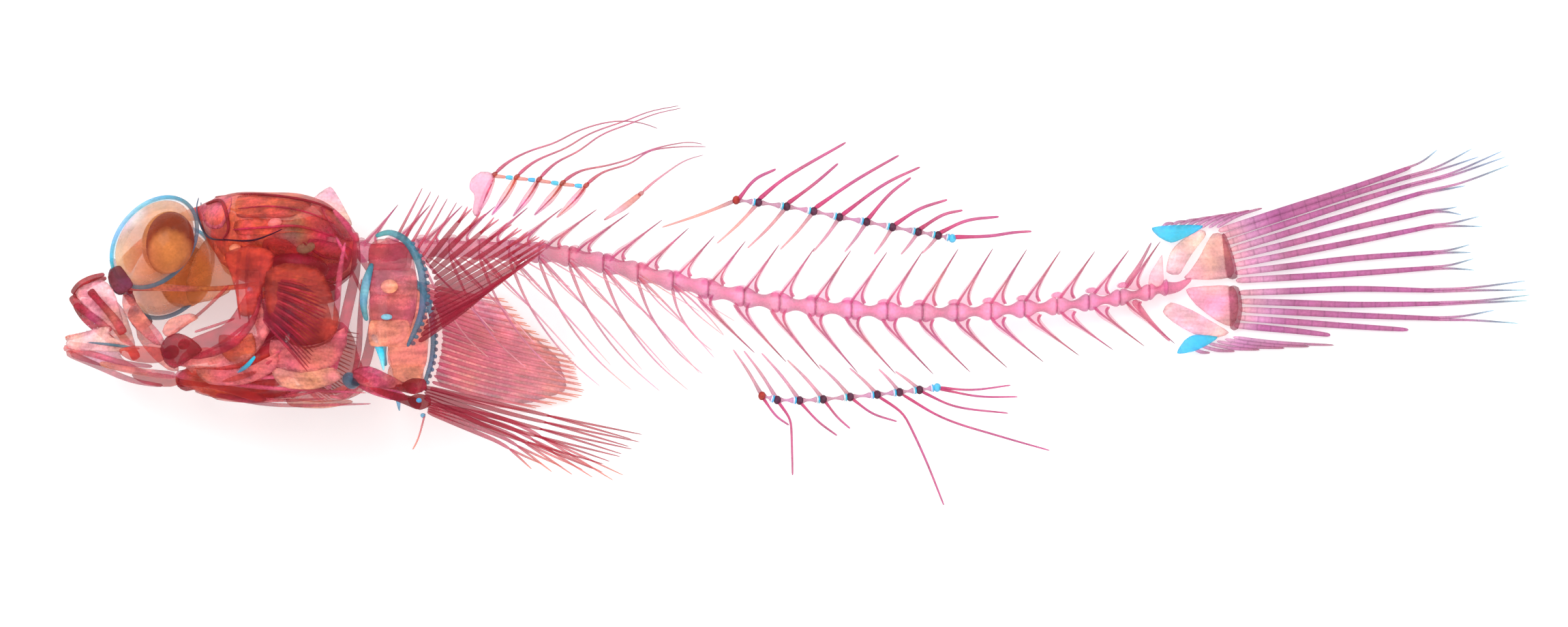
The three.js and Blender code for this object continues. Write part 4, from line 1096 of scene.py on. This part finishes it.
left_fan, right_fan, web = Bone(), Bone(), Bone()
web_edge = []
for i in range(PECTORAL_RAYS):
    u = i / (PECTORAL_RAYS - 1)
    v = min(u + 0.4 / PECTORAL_RAYS, 1)
    root = Vector((root_x(u) + 0.1, root_y(u), FIN_OUT))
    pleat = 0.35 if i % 2 else 0.0
    tips = [seen(left_tip_x(t), left_tip_y(t), 4.2 + pleat) for t in (u, v)]
    middle = root.lerp(tips[0], 0.45) + Vector((0, -0.25, 0.5))
    if i < FREE_RAYS:
        rod(left_fan, [root, middle, tips[0]], [0.16, 0.11, 0.04], [CRIMSON, ROSE, WINE], rings=8)
    else:
        forked_ray(left_fan, root, middle, tips, 0.27, [MAROON, CRIMSON, ROSE])
    root = Vector((root_x(u) + 0.1, root_y(u), -FIN_OUT))
    ragged = 0.8 * math.sin(2.7 * i) ** 2
    tips = [on_table(right_tip_x(t) - ragged, right_tip_y(t) + 0.3 * ragged) for t in (u, v)]
    middle = root.lerp(tips[0], 0.45) + Vector((0, 0, -0.4))
    forked_ray(right_fan, root, middle, tips, 0.22, [ROSE, SHRIMP, PEACH])
    web_edge.append(middle.lerp(tips[0], 0.85))
web_roots = [Vector((root_x(u), root_y(u), -FIN_OUT)) for u in (1, 0.75, 0.5, 0.25, 0)]
plate(web, [*web_roots, *web_edge[::2]], 0.06, SHRIMP, BLUSH)
finish(web, "pectoral_fin_right_web", THIN_BONE, ["pectoral_fin_right"])
finish(left_fan, "pectoral_fin_left_rays", RAY_BONE, ["pectoral_fin_left"])
finish(right_fan, "pectoral_fin_right_rays", RAY_BONE, ["pectoral_fin_right"])
print("pectoral rays on each side:", PECTORAL_RAYS)

# %% [markdown]
# ## Hips and pelvic fins
#
# Two slim bones run back from a knob of cartilage under the throat, and each
# carries five branched rays. The fins trail back together on the table side, one
# a little above the other.

# %% Build the hips and their fins
HIP_WEB = [
    (24.6, -4.9, 0.4), (26.4, -4.6, 0.9), (28.6, -5.9, 1.8), (30.0, -6.8, 2.2), (28.0, -7.0, 1.6),
    (25.4, -6.4, 0.7),
]
HIP_END = [
    (29.2, -6.6, 2.0), (30.2, -6.1, 2.2), (31.4, -6.3, 2.4), (31.5, -7.2, 2.3), (30.4, -7.7, 2.2),
    (29.5, -7.3, 2.0),
]
PELVIC_RAYS = 5

hip_gristle = Bone()
lump(hip_gristle, (24.7, -5.7, 0), (0.8, 0.7, 1.1), SLATE, turn=-20)
lump(hip_gristle, (25.2, -5.9, 0.5), (0.5, 0.5, 0.5), INK)
finish(hip_gristle, "hip_gristle", DULL_CARTILAGE, ["pelvic_cartilage"])

for side, s in SIDES:
    hip, fin = Bone(), Bone()
    rod(hip, flipped([(24.9, -5.5, 0.7), (26.8, -6.2, 1.1), (29.0, -6.7, 1.8), (30.6, -7.1, 2.2)], s),
        [0.45, 0.34, 0.4, 0.6], [ROSE, CRIMSON, MAROON, INK], sides=8, rings=8, flat=0.6)
    plate(hip, flipped(HIP_WEB, s), 0.2, ROSE, CRIMSON)
    plate(hip, flipped(HIP_END, s), 0.4, MAROON, INK)
    finish(hip, f"pelvic_bone_{side}_shaft", THICK_BONE, [f"pelvic_bone_{side}"])
    for i in range(PELVIC_RAYS):
        u = i / (PELVIC_RAYS - 1)
        root = Vector((31.0, -6.9 - 0.2 * i, (2.3 - 0.1 * i) * s))
        middle = Vector((38.5 - u, -8.55 - 0.5 * i, (1.9 - 0.15 * i) * s))
        if s > 0:
            tip = seen(mix(49.6, 46.3, u * u), mix(-10.3, -12.8, u), 1.7 - 0.3 * u)
        else:
            tip = seen(mix(48.0, 41.0, u), mix(-13.8, -12.8, u), -0.9 - 0.5 * u)
        reds = [MAROON, CRIMSON, CRIMSON] if s > 0 else [CRIMSON, ROSE, SALMON]
        forked_ray(fin, root, middle, [tip, tip + Vector((-0.9, -0.42, 0))], 0.25, reds, 0.3)
    if s < 0:
        rod(fin, [(30.9, -7.8, -2.1), (30.3, -10.0, -2.0), (29.8, -11.0, -1.9)], [0.12, 0.08], [ROSE, SALMON])
    lump(fin, (30.7, -8.0, 2.1 * s), (0.26, 0.22, 0.2), CYAN)
    finish(fin, f"pelvic_fin_{side}_rays", RAY_BONE, [f"pelvic_fin_{side}"])

# %% [markdown]
# ## The skull
#
# The braincase is a closed dome, domed plates of bone grown together along wavy
# seams. In front of it a narrow bar runs forward between the eyes to the snout.
# The dye is deepest low down, where bone lies over bone, and palest over the
# forehead, so the paint is a function of place: a ground colour with a few soft
# patches laid into it.

# %% Paint patches of dye
def patches(ground, spots):
    """A paint of one ground colour with soft spots of (x, y, radius, colour)."""

    def paint(at):
        colour = ground.copy()
        for x, y, radius, other in spots:
            near = math.hypot(at.x - x, at.y - y) / radius
            colour = colour.lerp(other, clamp(1.6 - 1.6 * near, 0, 1))
        return colour

    return paint


SKULL = [(11.5, 8.5, 0.55, 0.7), (13, 7.35, 2.2, 2.9), (15, 6.6, 3.5, 4.5), (18, 6.3, 3.7, 5.5),
         (21, 6.15, 3.65, 5.7), (23.6, 5.9, 2.75, 4.4), (25.2, 5.3, 1.15, 1.4)]
SKULL_PAINT = patches(RUST, [(13.4, 8.4, 2.0, ROSE), (20.5, 5.2, 1.6, OLIVE), (16.5, 6.2, 3.0, ORANGE),
                             (19.2, 2.0, 2.6, MAROON), (24.0, 5.6, 2.4, CRIMSON), (19.0, 8.2, 2.6, ORANGE),
                             (12.8, 5.4, 1.6, BRICK)])
skull_middle, skull_high, skull_wide = sections(SKULL)


def on_skull(x, y, lift):
    """The point lift outside the braincase, on the left, that shows at x, y."""
    w = 0.0
    for _ in range(8):  # it comes nearer each time
        point = seen(x, y, w)
        rise = clamp((point.y - skull_middle(point.x)) / skull_high(point.x), -0.97, 0.97)
        w = mix(w, skull_wide(point.x) * math.sqrt(1 - rise * rise) + lift, 0.7)
    return seen(x, y, w)


def over_skull(points, lift, s):
    """Points of (x, y) laid over the braincase, lift outside it, on the side s."""
    return flipped([on_skull(x, y, lift) for x, y in points], s)


skull = Bone()
hull(skull, SKULL, SKULL_PAINT, 20, 16)
for s in (1, -1):
    lump(skull, (20.8, 3.0, 3.3 * s), (2.8, 1.2, 1.5), MAROON, turn=-8)
    lump(skull, (17.0, 3.6, 3.7 * s), (1.9, 1.3, 1.1), BRICK, turn=15)
rod(skull, [(23.4, 3.4, 0), (18, 2.6, 0), (13, 2.1, 0), (9, 2.2, 0), (5.2, 2.5, 0)],
    [0.9, 0.5, 0.24, 0.2, 0.3, 0.6], [MAROON, RUST, ORANGE, SALMON, CRIMSON], sides=8, rings=14, flat=1.4)
rod(skull, [(12.6, 8.6, 0), (10.6, 8.3, 0), (8.6, 7.3, 0), (6.8, 5.8, 0), (5.1, 3.6, 0)],
    [0.75, 0.45, 0.3, 0.34, 0.55, 0.8], [CRIMSON, RUST, SALMON, ROSE, DUSK], sides=8, rings=12, flat=1.8)
finish(skull, "braincase", THICK_BONE, ["neurocranium"])

orbit_wall = Bone()
plate(orbit_wall, level([(10.6, 0.6), (12.6, 0.9), (14.4, 1.6), (15.4, 3.4), (15.6, 5.6), (14.2, 6.4),
                         (12.4, 6.9), (11.2, 5.0), (10.4, 2.6)]), 0.2, AMBER, ORANGE)
finish(orbit_wall, "orbit_wall", EYE_JELLY, ["neurocranium"])

crest = Bone()
plate(crest, level([(20.9, 9.4), (21.9, 10.3), (22.9, 10.95), (23.4, 10.3), (24.2, 8.9), (25.1, 7.2),
                    (23.4, 7.4)]), 0.25, BLUSH, ROSE)
finish(crest, "nape_crest", THIN_BONE, ["neurocranium"])

# %% Lay the bones of the skull roof over the braincase
# Each: the dye of its middle and of its rim, and its outline as it shows.
ROOF_BONES = {
    "frontal": (ROSE, CRIMSON, [
        (12.2, 9.1), (13.1, 9.9), (14.8, 10.1), (14.6, 8.6), (13.9, 7.0), (12.7, 7.0), (12.0, 7.8),
    ]),
    "parietal": (RUST, BRICK, [
        (14.7, 10.1), (17.6, 10.05), (20.4, 9.9), (22.0, 9.2), (19.8, 7.9), (17.0, 8.0), (14.7, 7.9),
    ]),
    "pterotic": (ORANGE, RUST, [
        (14.4, 7.9), (17.0, 8.1), (19.8, 7.8), (22.6, 8.6), (24.4, 7.0), (23.2, 6.2), (20.4, 6.9),
        (17.6, 6.6), (14.6, 6.5),
    ]),
    "epiotic": (CRIMSON, MAROON, [
        (21.8, 9.2), (23.2, 9.0), (24.8, 7.4), (25.0, 5.8), (23.8, 6.2), (22.8, 7.6),
    ]),
    "sphenotic": (ORANGE, RUST, [
        (12.6, 6.5), (14.6, 6.3), (16.9, 6.4), (17.1, 4.8), (15.2, 3.4), (13.4, 4.2),
    ]),
    "prootic": (BRICK, CRIMSON, [
        (17.1, 6.5), (19.4, 6.5), (20.9, 5.0), (20.6, 3.0), (18.4, 2.2), (16.8, 3.0), (17.2, 4.8),
    ]),
    "exoccipital": (CRIMSON, MAROON, [
        (20.9, 6.6), (23.4, 6.1), (25.1, 5.6), (24.6, 3.6), (22.6, 2.6), (20.8, 3.2), (20.9, 5.0),
    ]),
}
LACHRYMAL = [(4.0, 3.0), (4.5, 3.9), (5.2, 4.1), (5.7, 3.4), (6.5, 2.3), (5.9, 1.7), (5.1, 1.4), (4.5, 2.0)]

roof, seams = Bone(), Bone()
for s in (1, -1):
    for colour, rim, points in ROOF_BONES.values():
        plate(roof, over_skull(points, 0.05, s), 0.12 * s, colour, rim, 0.15 * s)
    for x, y, size, colour in ((18.3, 7.7, 0.7, SALMON), (20.9, 5.6, 0.9, OLIVE), (14.9, 5.6, 0.6, SALMON)):
        lump(roof, over_skull([(x, y)], 0.05, s)[0], (size, 0.62 * size, 0.2), colour, turn=15)
finish(roof, "skull_roof", THIN_BONE, ["neurocranium"])

# Ridges of thicker bone: points as they show, the radius and the dye.
RIDGES = [
    ([(12.3, 9.3), (13.6, 9.6), (14.2, 8.2), (14.3, 7.0), (13.8, 6.3)], 0.2, MAROON),
    ([(13.0, 9.9), (16.4, 10.15), (20.2, 9.75), (22.8, 9.0), (24.8, 7.2)], 0.14, MAROON),
    ([(15.0, 8.9), (18.0, 9.1), (21.0, 8.6), (23.4, 7.6)], 0.1, CRIMSON),
    ([(14.6, 7.1), (17.4, 7.3), (20.4, 7.4), (23.6, 6.4)], 0.14, CRIMSON),
    ([(15.4, 5.8), (15.9, 4.4), (16.2, 3.0)], 0.16, MAROON),
    ([(17.6, 5.8), (18.0, 4.0), (17.8, 2.6)], 0.16, MAROON),
    ([(20.6, 6.1), (22.4, 4.8), (24.4, 4.6)], 0.14, MAROON),
    ([(16.8, 2.6), (19.4, 2.0), (22.6, 2.6)], 0.22, MAROON),
]
for s in (1, -1):
    for points, radius, colour in RIDGES:
        rod(seams, over_skull(points, 0.15, s), [0.6 * radius, radius, radius, 0.5 * radius], [colour],
            rings=3 * len(points))
    rod(seams, flipped([(4.9, 3.0, 0.2), (5.3, 2.4, 1.9), (5.7, 1.6, 3.0)], s), [0.7, 0.5, 0.35],
        [DUSK, MAROON], sides=8)
    plate(seams, flipped([seen(x, y, 4.7) for x, y in LACHRYMAL], s), 0.3 * s, DUSK, MAROON, 0.2 * s)
    rod(seams, flipped([(5.6, 2.4, 2.4), (5.1, 3.4, 1.8), (4.4, 4.3, 1.0)], s), [0.3, 0.4, 0.3],
        [MAROON, CRIMSON])
finish(seams, "skull_ridges", THICK_BONE, ["neurocranium"])

SEAM = [
    (11.7, 9.9), (11.5, 8.9), (12.0, 7.2), (12.7, 6.4), (14.2, 6.25), (16.4, 6.2), (18.4, 6.9), (19.0, 7.2),
]
dark_lines = Bone()
lump(dark_lines, (4.8, 2.8, 0), (0.85, 1.35, 1.1), DUSK, turn=15)
for s in (1, -1):
    rod(dark_lines, over_skull(SEAM, 0.3, s), [0.06, 0.07, 0.12, 0.09, 0.08, 0.1, 0.09, 0.04],
        [SLATE, INK, INK], rings=20)
finish(dark_lines, "seams", JOINT_INK, ["neurocranium"])

# %% [markdown]
# ## Eyes
#
# The eyeball stays in a cleared fish: a clear amber jelly inside a ring of blue
# cartilage, with the round lens in its middle and a pale band, the white of the
# eye, along the ball's edge. One shape in one material would look like a bead,
# so the ball, the lens, the ring and the band are four pieces, one inside
# another, and each lets the next show through.

# %% Make the eyes
EYE = {"x": 8.6, "y": 4.75, "out": 4.2, "long": 4.3, "short": 3.1, "turn": 50}
LENS_CENTRE = (9.9, 4.45)


def lens_paint(at):
    """Amber, with a chestnut crescent along its upper front edge."""
    far = math.hypot(at.x - LENS_CENTRE[0] - 0.4, at.y - LENS_CENTRE[1] + 1.3)
    return AMBER.lerp(CHESTNUT, ease(far, 1.6, 2.1))


def oval(bone, centre, half_sizes, paint, turn):
    """A smooth ball with the dye that paint finds for each place."""
    verts = bone.take(unit_ball(22, 16))
    bmesh.ops.transform(bone.bm, matrix=placed(centre, half_sizes, turn), verts=verts)
    bone.colour(verts, paint)


for side, s in SIDES:
    ball, lens, ring, halo = Bone(), Bone(), Bone(), Bone()
    x, y, out = EYE["x"], EYE["y"], EYE["out"] * s
    jelly = patches(mix(CREAM, PEACH, 0.3), [(x + 1.7, y - 0.9, 6.0, AMBER), (x - 2.0, y + 2.2, 1.8, SHELL)])
    oval(ball, (x, y, out), (EYE["long"] - 0.25, EYE["short"] - 0.25, 2.0), jelly, EYE["turn"])
    bulge = 0.9 if s > 0 else -0.1  # the right eye rests on the table, so its lens stays inside it
    oval(lens, (*LENS_CENTRE, out + bulge), (2.7, 2.25, 1.6), lens_paint, 75)
    hoop(ring, (x, y, out), (EYE["long"], EYE["short"]), 0.2, EYE["turn"],
         [SKY_BLUE, CYAN, TEAL, mix(SLATE, OLIVE, 0.3), mix(SLATE, OLIVE, 0.5), SLATE])
    hoop(halo, (x, y, out), (EYE["long"] - 0.55, EYE["short"] - 0.5), 0.5, EYE["turn"],
         [SKY_BLUE, SKY_BLUE, SHELL, CREAM, AMBER, AMBER])
    finish(ball, f"eyeball_{side}", EYE_JELLY, [f"eye_{side}"])
    finish(lens, f"lens_{side}", EYE_LENS, [f"eye_{side}"])
    finish(ring, f"eye_ring_{side}_gristle", DULL_CARTILAGE, [f"eye_ring_{side}"])
    finish(halo, f"eye_white_{side}", EYE_HALO, [f"eye_{side}"])

# %% [markdown]
# ## Jaws
#
# The upper jaw is two slim bones on each side that slide forward as the mouth
# opens, with a thin web between them, and the lower jaw is one bone with teeth
# and one that hinges. A thin rod of blue cartilage lies along it. Teeth are
# short cones, a row along each edge.
# All bones of the head's side are drawn as they show on the left, and the right
# side is their mirror image.

# %% Draw both sides of a bone at once
def shown(points, out, s):
    """Points from (x, y) as they show on the left, out(x, y) out, taken to the side s."""
    return flipped([seen(x, y, out(x, y)) for x, y in points], s)


def lifted(out, lift):
    """The same surface, a little further out."""
    return lambda x, y: out(x, y) + lift


def both_sides(draw, name, material, node):
    """Makes a left piece and its mirror image. draw gets a Bone and a side, 1 or -1."""
    for side, s in SIDES:
        bone = Bone()
        draw(bone, s)
        finish(bone, f"{name}_{side}", material, [f"{node}_{side}"])


jaw_width = through([(0, 0.5), (2, 1.6), (5, 3.0), (9, 3.6), (12, 4.2)])


def jaw_out(x, y):
    return jaw_width(x) * mix(0.75, 1, ease(y, -5, -2))


def teeth(bone, edge, count, drop):
    """A row of cones along an edge of straight-frame points, pointing by drop."""
    path, _ = path_through(edge)
    for i in range(count):
        at = path((i + 0.5) / count)
        long = 0.75 + 0.25 * math.sin(i * 2.4)
        rod(bone, [at, at + Vector((-0.08, drop * long, 0))], [0.09, 0.02], [ROSE, SHELL], sides=5, rings=2)


# %% Build the jaws
UPPER_JAW_WEB = [
    (1.0, 1.8), (1.8, 2.5), (3.6, 3.1), (4.6, 2.2), (5.2, 0.4), (5.7, -1.4), (4.8, -1.7), (3.6, -0.8),
    (1.7, 0.8),
]


def upper_jaw(bone, s):
    edge = shown([(0.85, 1.5), (1.6, 0.6), (2.7, -0.25), (3.7, -0.9), (4.4, -1.5)], jaw_out, s)
    rod(bone, edge, [0.36, 0.5, 0.42, 0.4, 0.24], [MAROON, CRIMSON, ROSE, ROSE], sides=8, rings=10, flat=0.5)
    rod(bone, flipped([(1.1, 1.4, 0.5), (1.6, 2.2, 0.5), (2.6, 2.8, 0.5), (3.8, 3.2, 0.5)], s),
        [0.45, 0.42, 0.36, 0.2], [MAROON, CRIMSON, CRIMSON], rings=8, flat=0.6)
    rod(bone, flipped([(1.5, 1.4, 0.9), (2.6, 1.2, 1.3), (3.6, 0.7, 1.8)], s), [0.3, 0.35, 0.15],
        [CRIMSON, ROSE], flat=0.5)
    teeth(bone, [p + Vector((0.1, -0.25, 0)) for p in edge], 11, -0.32)


def upper_jaw_web(bone, s):
    plate(bone, shown(UPPER_JAW_WEB, jaw_out, s), 0.12 * s, SHRIMP, SALMON)


def maxilla(bone, s):
    edge = shown([(2.5, 1.9), (3.2, 1.1), (4.2, 0.0), (5.0, -1.0), (5.5, -1.9)], jaw_out, s)
    rod(bone, [p + Vector((0, 0, 0.35 * s)) for p in edge], [0.42, 0.32, 0.34, 0.42, 0.48],
        [MAROON, CRIMSON, ROSE, CRIMSON], sides=8, rings=10, flat=0.4)


DENTARY = [
    (0.35, -2.6), (0.6, -2.1), (2.0, -1.65), (3.7, -1.1), (4.5, -1.1), (4.3, -1.9), (5.6, -2.5),
    (6.9, -3.1), (5.2, -3.4), (3.0, -3.3), (1.2, -3.25), (0.5, -3.15),
]
ARTICULAR = [
    (4.9, -3.0), (6.3, -2.7), (8.2, -2.8), (9.2, -3.0), (9.4, -3.8), (8.6, -4.3), (7.4, -4.3),
    (6.1, -4.1), (5.2, -3.6),
]


def lower_jaw(bone, s):
    plate(bone, shown(DENTARY, jaw_out, s), 0.3 * s, BLUSH, ROSE, 0.15 * s)
    plate(bone, shown(ARTICULAR, lifted(jaw_out, 0.12), s), 0.45 * s, BRICK, CRIMSON, 0.2 * s)
    edge = shown([(0.35, -2.15), (2.0, -1.75), (4.0, -1.15)], jaw_out, s)
    rod(bone, edge, [0.3, 0.2, 0.14], [ORANGE, ROSE, ROSE], rings=6)
    rod(bone, shown([(0.2, -2.9), (2.6, -3.4), (5.4, -4.2), (8.0, -4.5)], jaw_out, s), [0.42, 0.34, 0.3, 0.2],
        [BRICK, ROSE, CRIMSON], rings=8)
    teeth(bone, edge, 12, 0.3)
    lump(bone, flipped([seen(9.2, -3.5, 3.8)], s)[0], (0.5, 0.45, 0.35), MAROON)


def jaw_gristle(bone, s):
    rod(bone, shown([(2.2, -2.45), (4.4, -2.65), (6.9, -3.0)], lifted(jaw_out, 0.25), s), [0.08, 0.15, 0.12],
        [SLATE], rings=6)


both_sides(upper_jaw, "upper_jaw", THICK_BONE, "premaxilla")
both_sides(upper_jaw_web, "upper_jaw_web", THIN_BONE, "premaxilla")
both_sides(maxilla, "maxilla_bone", THICK_BONE, "maxilla")
both_sides(lower_jaw, "lower_jaw_bones", THIN_BONE, "lower_jaw")
both_sides(jaw_gristle, "jaw_gristle", DULL_CARTILAGE, "lower_jaw")

# %% [markdown]
# ## Cheek and gill cover
#
# Thin bones overlap like roof tiles from the jaw joint back to the gill opening.
# Each is a bowed plate with a darker rim, where bone is thicker. Some windows
# between them stay open, and the far side shows through.

# %% Build the cheeks
cheek_width = through([(5, 3.2), (9, 3.9), (12, 4.5), (16, 5.6), (19, 6.1)])


def cheek_out(x, y):
    return cheek_width(x) * mix(0.25, 1, ease(y, -8, -1))


# Each: thickness, the dye of its middle and of its rim, and its outline as it shows.
CHEEK_PLATES = [
    (0.2, CORAL, ROSE, [
        (5.2, 1.8), (6.2, 1.5), (7.4, -0.3), (8.9, -1.9), (9.2, -2.9), (8.2, -2.9), (6.6, -1.5),
        (5.3, 0.1),
    ]),
    (0.2, SALMON, BRICK, [
        (8.6, -1.7), (9.2, -0.5), (11.3, 0.1), (12.2, -0.4), (10.6, -1.2), (9.3, -2.3),
    ]),
    (0.3, CRIMSON, MAROON, [
        (10.6, -2.4), (12.6, -1.6), (14.2, -1.0), (15.4, 0.6), (16.2, 2.2), (17.6, 1.8), (17.0, -0.9),
        (15.4, -2.9), (13.2, -3.9), (10.8, -4.2),
    ]),
    (0.2, ORANGE, RUST, [
        (13.4, -1.6), (15.4, -1.9), (16.6, -1.4), (17.0, -3.0), (16.4, -4.6), (15.0, -4.6), (13.6, -3.4),
    ]),
    (0.2, CORAL, CRIMSON, [
        (10.0, -3.9), (12.0, -3.4), (14.8, -2.2), (16.8, -0.4), (17.6, 1.8), (18.6, 1.0), (18.2, -1.6),
        (16.6, -4.0), (13.8, -5.3), (11.0, -5.4),
    ]),
    (0.3, BRICK, CRIMSON, [
        (13.8, 5.2), (16.0, 5.9), (18.6, 5.4), (18.2, 3.4), (17.2, 1.6), (16.7, -0.5), (15.3, -0.6),
        (15.0, 1.8), (14.4, 3.6),
    ]),
    (0.25, BRICK, CRIMSON, [
        (10.6, -4.3), (13.4, -4.6), (16.4, -3.9), (18.6, -3.0), (18.4, -4.6), (15.6, -5.9), (12.4, -5.9),
        (10.4, -5.2),
    ]),
]


def cheek(bone, s):
    for i, (thick, colour, rim, points) in enumerate(CHEEK_PLATES):
        plate(bone, shown(points, lifted(cheek_out, 0.14 * (i % 3)), s), thick * s, colour, rim, 0.15 * s)
    rod(bone, shown([(9.1, -2.1), (12.2, 0.2), (14.5, 2.5)], cheek_out, s), [0.2, 0.15, 0.2],
        [CRIMSON, BRICK], rings=5)
    rod(bone, shown([(11.4, -1.6), (13.6, -0.9), (15.0, -0.4)], cheek_out, s), [0.14],
        [ROSE, CRIMSON], rings=4)
    for x, low, high in ((15.3, -0.6, 5.4), (16.1, -1.0, 5.6), (17.3, 0.2, 5.6)):
        points = [(x, high), (x - 0.2, mix(low, high, 0.5)), (x + 0.1, low)]
        rod(bone, shown(points, lifted(cheek_out, 0.3), s), [0.26, 0.14, 0.1], [MAROON], rings=6)


QUADRATE = [
    (8.5, -2.9), (9.1, -1.9), (10.2, -1.5), (11.4, -2.0), (12.6, -3.1), (11.2, -4.0), (9.8, -4.9),
    (8.9, -4.2),
]


def quadrate(bone, s):
    plate(bone, shown(QUADRATE, lifted(cheek_out, 0.3), s), 0.5 * s, MAROON, CRIMSON, 0.2 * s)
    for x, y, size in ((9.5, -3.3, 0.8), (10.6, -2.6, 0.6)):
        centre = shown([(x, y)], lifted(cheek_out, 0.5), s)[0]
        lump(bone, centre, (size, 0.8 * size, 0.35), MAROON, turn=30)


def cheek_blue(bone, s):
    lump(bone, flipped([seen(16.2, 1.9, 5.9)], s)[0], (0.3, 0.42, 0.2), SLATE)
    rod(bone, shown([(15.0, -5.0), (15.9, -4.5), (16.7, -3.6)], lifted(cheek_out, 0.5), s),
        [0.16, 0.26, 0.16], [SLATE, CYAN], rings=5, flat=0.5)


both_sides(cheek, "cheek_plates", THIN_BONE, "cheek")
both_sides(quadrate, "quadrate", THICK_BONE, "cheek")
both_sides(cheek_blue, "cheek_gristle", CARTILAGE, "cheek")

# %% Build the gill covers
gill_width = through([(12, 4.4), (17, 6.1), (21, 7.0), (25, 6.4)])


def gill_out(x, y):
    return gill_width(x) * mix(0.2, 1, ease(y, -8.5, -1))


# As for the cheek, with how far it bows out after the dyes.
GILL_PLATES = [
    (0.2, RUST, MAROON, 0.6, [
        (17.3, 3.6), (19.2, 4.4), (22.2, 4.0), (23.2, 2.4), (23.6, 0.8), (24.3, -0.8), (23.4, -2.9),
        (21.0, -3.6), (18.6, -2.4), (17.4, 0.4),
    ]),
    (0.18, CORAL, CRIMSON, 0.3, [
        (17.6, -1.9), (20.5, -2.9), (23.0, -2.4), (24.6, -0.8), (24.8, -2.6), (23.6, -4.6), (20.6, -5.3),
        (17.8, -4.6),
    ]),
    (0.2, CORAL, BRICK, 0.2, [
        (11.0, -4.6), (14.4, -4.9), (17.8, -4.0), (19.0, -3.0), (18.8, -4.8), (16.0, -6.2), (12.4, -6.2),
    ]),
    (0.15, PEACH, SALMON, 0.2, [
        (17.6, -4.4), (20.6, -4.9), (23.6, -4.4), (24.4, -5.6), (21.8, -6.6), (18.6, -6.4),
    ]),
]
GILL_STREAKS = 24


def gill_cover(bone, s):
    for thick, colour, rim, bow, points in GILL_PLATES:
        plate(bone, shown(points, gill_out, s), thick * s, colour, rim, bow * s)
    for i in range(GILL_STREAKS):
        u = i / (GILL_STREAKS - 1)
        start, end = (17.5 - 0.2 * u, mix(3.5, -0.4, u)), (mix(23.6, 21.2, u), mix(2.6, -5.0, u))
        middle = (mix(start[0], end[0], 0.45), mix(start[1], end[1], 0.5) + 0.3)
        rod(bone, shown([start, middle, end], lifted(gill_out, 0.4), s),
            [0.2, 0.13 + 0.05 * math.sin(5 * i), 0.05], [MAROON, (MAROON, INK, CRIMSON)[i % 3], MAROON],
            rings=6, flat=0.4)


both_sides(gill_cover, "gill_plates", THIN_BONE, "gill_cover")

# %% [markdown]
# ## Throat
#
# The hyoid bar carries the fine curved rays that spread the throat skin. Inside
# it, four gill arches curve up to the skull, and they show as dark streaks
# through the gill cover.

# %% Build the throat
def throat(bone, s):
    rod(bone, flipped([(9.9, -5.4, 0.9), (12.6, -5.8, 1.9), (16.3, -5.6, 3.4), (19.3, -4.2, 4.8)], s),
        [0.35, 0.65, 1.0, 1.05, 0.6], [ROSE, ORANGE, RUST, BRICK, CRIMSON], sides=8, rings=10, flat=0.35)
    rod(bone, flipped([(10.0, -4.7, 1.2), (13.4, -4.6, 3.0), (17.6, -3.4, 4.6)], s),
        [0.3, 0.5, 0.4], [ROSE, BRICK, MAROON], rings=7, flat=0.4)
    for i in range(5):
        last = (22.4 - 0.3 * i, -7.2 + 0.95 * i, 2.4 + 0.75 * i) if i else (26.4, -7.2, 1.5)
        rod(bone, flipped([(12.2 + 1.5 * i, -6.1 + 0.1 * i, 1.9 + 0.66 * i),
                           (17.4 + 0.6 * i, -7.0 + 0.6 * i, 2.4 + 0.8 * i), last], s),
            [0.26, 0.2, 0.08], [CRIMSON, ROSE, ROSE], rings=8, flat=0.6)
    for i in range(4):
        start = (12.6 + 1.3 * i, -4.6 + 0.25 * i, 0.9)
        low = (16.6 + 1.2 * i, -3.6 + 0.55 * i, 3.0)
        bend = (20.6 + 0.55 * i, -1.4 + 0.3 * i, 3.9)
        high = (20.4 + 0.5 * i, 1.8 + 0.1 * i, 2.8)
        rod(bone, flipped([start, low, bend, high], s), [0.26, 0.42, 0.42, 0.34], [CRIMSON, MAROON, MAROON],
            rings=12, flat=0.7)


both_sides(throat, "throat_bones", THIN_BONE, "hyoid")

keel = Bone()
plate(keel, level([(9.6, -6.0), (13, -6.3), (17.0, -7.6), (17.9, -7.4), (17.4, -6.8), (13, -5.6),
                   (9.8, -5.4)]), 0.3, BRICK, CRIMSON)
rod(keel, level([(3.2, -4.2), (6.4, -4.9), (10.0, -5.3)]), [0.3, 0.36, 0.4], [SALMON, ROSE], rings=5,
    flat=1.6)
finish(keel, "urohyal_plate", THIN_BONE, ["urohyal"])

# %% Count the pieces and faces
print("pieces:", len(tally), "faces:", sum(tally.values()))
print("largest:", max(tally, key=tally.get), max(tally.values()))
